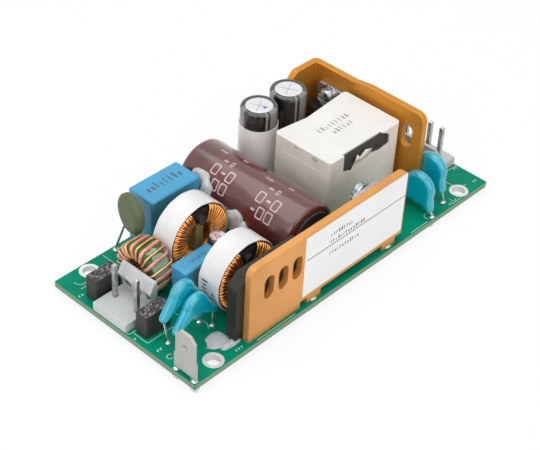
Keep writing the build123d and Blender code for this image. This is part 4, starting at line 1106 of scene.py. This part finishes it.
class SUPPLY_OT_stage(bpy.types.Operator):
    """Camera, floor, world and lamps"""

    bl_idname = "supply.stage"
    bl_label = "Stage"

    def execute(self, context):
        look = context.scene.supply_stage
        scene = context.scene
        scene.view_settings.view_transform = "Standard"
        eye = bpy.data.cameras.new("Camera")
        eye.sensor_width = 36.0
        eye.lens = 95.967
        eye.clip_start, eye.clip_end = 0.01, 10.0
        camera = bpy.data.objects.new("Camera", eye)
        stand = (-0.225004, -0.193027, 0.246853)
        right = Vector((0.686528, -0.725644, 0.046049)).normalized()
        forward = Vector((0.582095, 0.510556, -0.632849)).normalized()
        turn = Matrix((right, right.cross(forward), -forward)).transposed().to_4x4()
        camera.matrix_world = Matrix.Translation(stand) @ turn
        scene.collection.objects.link(camera)
        scene.camera = camera
        self.floor(look)
        self.world(scene)
        for name, place, size, power in (
            ("Overhead", (-0.05, 0.10, 0.62), 0.75, look.key),
            ("Front", (-0.12, -0.55, 0.34), 0.6, look.fill),
            ("Left", (-0.62, -0.05, 0.30), 0.5, look.fill * 0.7),
        ):
            self.lamp(name, place, size, power)
        return {"FINISHED"}

    def floor(self, look):
        """A wide pale floor that the camera sees as near white."""
        bm = bmesh.new()
        bmesh.ops.create_grid(bm, x_segments=2, y_segments=2, size=2.5)
        mesh = bpy.data.meshes.new("Floor")
        bm.to_mesh(mesh)
        bm.free()
        floor = bpy.data.objects.new("Floor", mesh)
        bpy.context.scene.collection.objects.link(floor)
        pale = Surface("pale_floor")
        pale.shade({"Base Color": look.floor, "Roughness": 0.9, "Specular IOR Level": 0.0})
        glow = pale.add("Emission", "Emission", {"Color": (1, 1, 1), "Strength": 1.0})
        seen = pale.maths("MULTIPLY", self.backdrop(pale), FLOOR_GLOW)
        blend = pale.add("MixShader", "Shader", {"Fac": seen, 1: pale.shader.outputs["BSDF"], 2: glow})
        pale.feed(pale.nodes["Material Output"], {"Surface": blend})
        mesh.materials.append(pale.material)

    def backdrop(self, tree):
        """One for the rays that show the backdrop: from the camera, or by a mirror or clear piece."""
        rays = tree.nodes.new("ShaderNodeLightPath").outputs
        seen = tree.maths("MAXIMUM", rays["Is Camera Ray"], rays["Is Glossy Ray"])
        return tree.maths("MAXIMUM", seen, rays["Is Transmission Ray"])

    def world(self, scene):
        """An even pale sky, white where the camera looks past the floor."""
        scene.world = bpy.data.worlds.new("World")
        sky = Tree(scene.world)
        ends = {"To Min": SKY_DIM, "To Max": SKY_BRIGHT}
        strength = sky.add("MapRange", "Result", {"Value": self.backdrop(sky), **ends})
        sky.feed(sky.nodes["Background"], {"Color": (1, 1, 1), "Strength": strength})

    def lamp(self, name, place, size, power):
        """A square soft lamp that faces the supply."""
        light = bpy.data.lights.new(name, "AREA")
        light.shape = "SQUARE"
        light.size = size
        light.energy = power
        lamp = bpy.data.objects.new(name, light)
        lamp.location = place
        lamp.rotation_mode = "QUATERNION"
        lamp.rotation_quaternion = (LAMP_TARGET - Vector(place)).to_track_quat("-Z", "Y")
        bpy.context.scene.collection.objects.link(lamp)


PIECES = (
    SUPPLY_OT_stage, SUPPLY_OT_board, SUPPLY_OT_headers, SUPPLY_OT_fuses, SUPPLY_OT_earth_tab,
    SUPPLY_OT_disc_capacitors, SUPPLY_OT_thermistor, SUPPLY_OT_small_choke, SUPPLY_OT_large_chokes,
    SUPPLY_OT_box_capacitors, SUPPLY_OT_bulk_capacitor, SUPPLY_OT_upright_capacitors, SUPPLY_OT_heatsinks,
    SUPPLY_OT_power_devices, SUPPLY_OT_transformer, SUPPLY_OT_silicone,
)
LOOKS = (
    ("supply_board", BoardLook), ("supply_heatsinks", HeatsinkLook), ("supply_windings", WindingLook),
    ("supply_capacitors", CapacitorLook), ("supply_stage", StageLook),
)


class SUPPLY_PT_pieces(bpy.types.Panel):
    """The supply's pieces, in the order in which they are made"""

    bl_idname = "SUPPLY_PT_pieces"
    bl_label = "Power Supply"
    bl_space_type = "VIEW_3D"
    bl_region_type = "UI"
    bl_category = "Power Supply"

    def draw(self, context):
        for piece in PIECES:
            self.layout.operator(piece.bl_idname)
        for key, look in LOOKS:
            box = self.layout.box()
            for field in look.__annotations__:
                box.prop(getattr(context.scene, key), field)


def register():
    """Registers the looks, the operators and the panel."""
    for key, look in LOOKS:
        bpy.utils.register_class(look)
        setattr(bpy.types.Scene, key, PointerProperty(type=look))
    for piece in PIECES:
        bpy.utils.register_class(piece)
    bpy.utils.register_class(SUPPLY_PT_pieces)


def unregister():
    """Removes what register added."""
    bpy.utils.unregister_class(SUPPLY_PT_pieces)
    for piece in reversed(PIECES):
        bpy.utils.unregister_class(piece)
    for key, look in reversed(LOOKS):
        delattr(bpy.types.Scene, key)
        bpy.utils.unregister_class(look)


def main():
    """Builds the supply."""
    register()
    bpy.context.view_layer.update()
    for piece in PIECES:
        group, call = piece.bl_idname.split(".")
        getattr(getattr(bpy.ops, group), call)()
    bpy.context.view_layer.update()


if __name__ == "__main__":
    main()
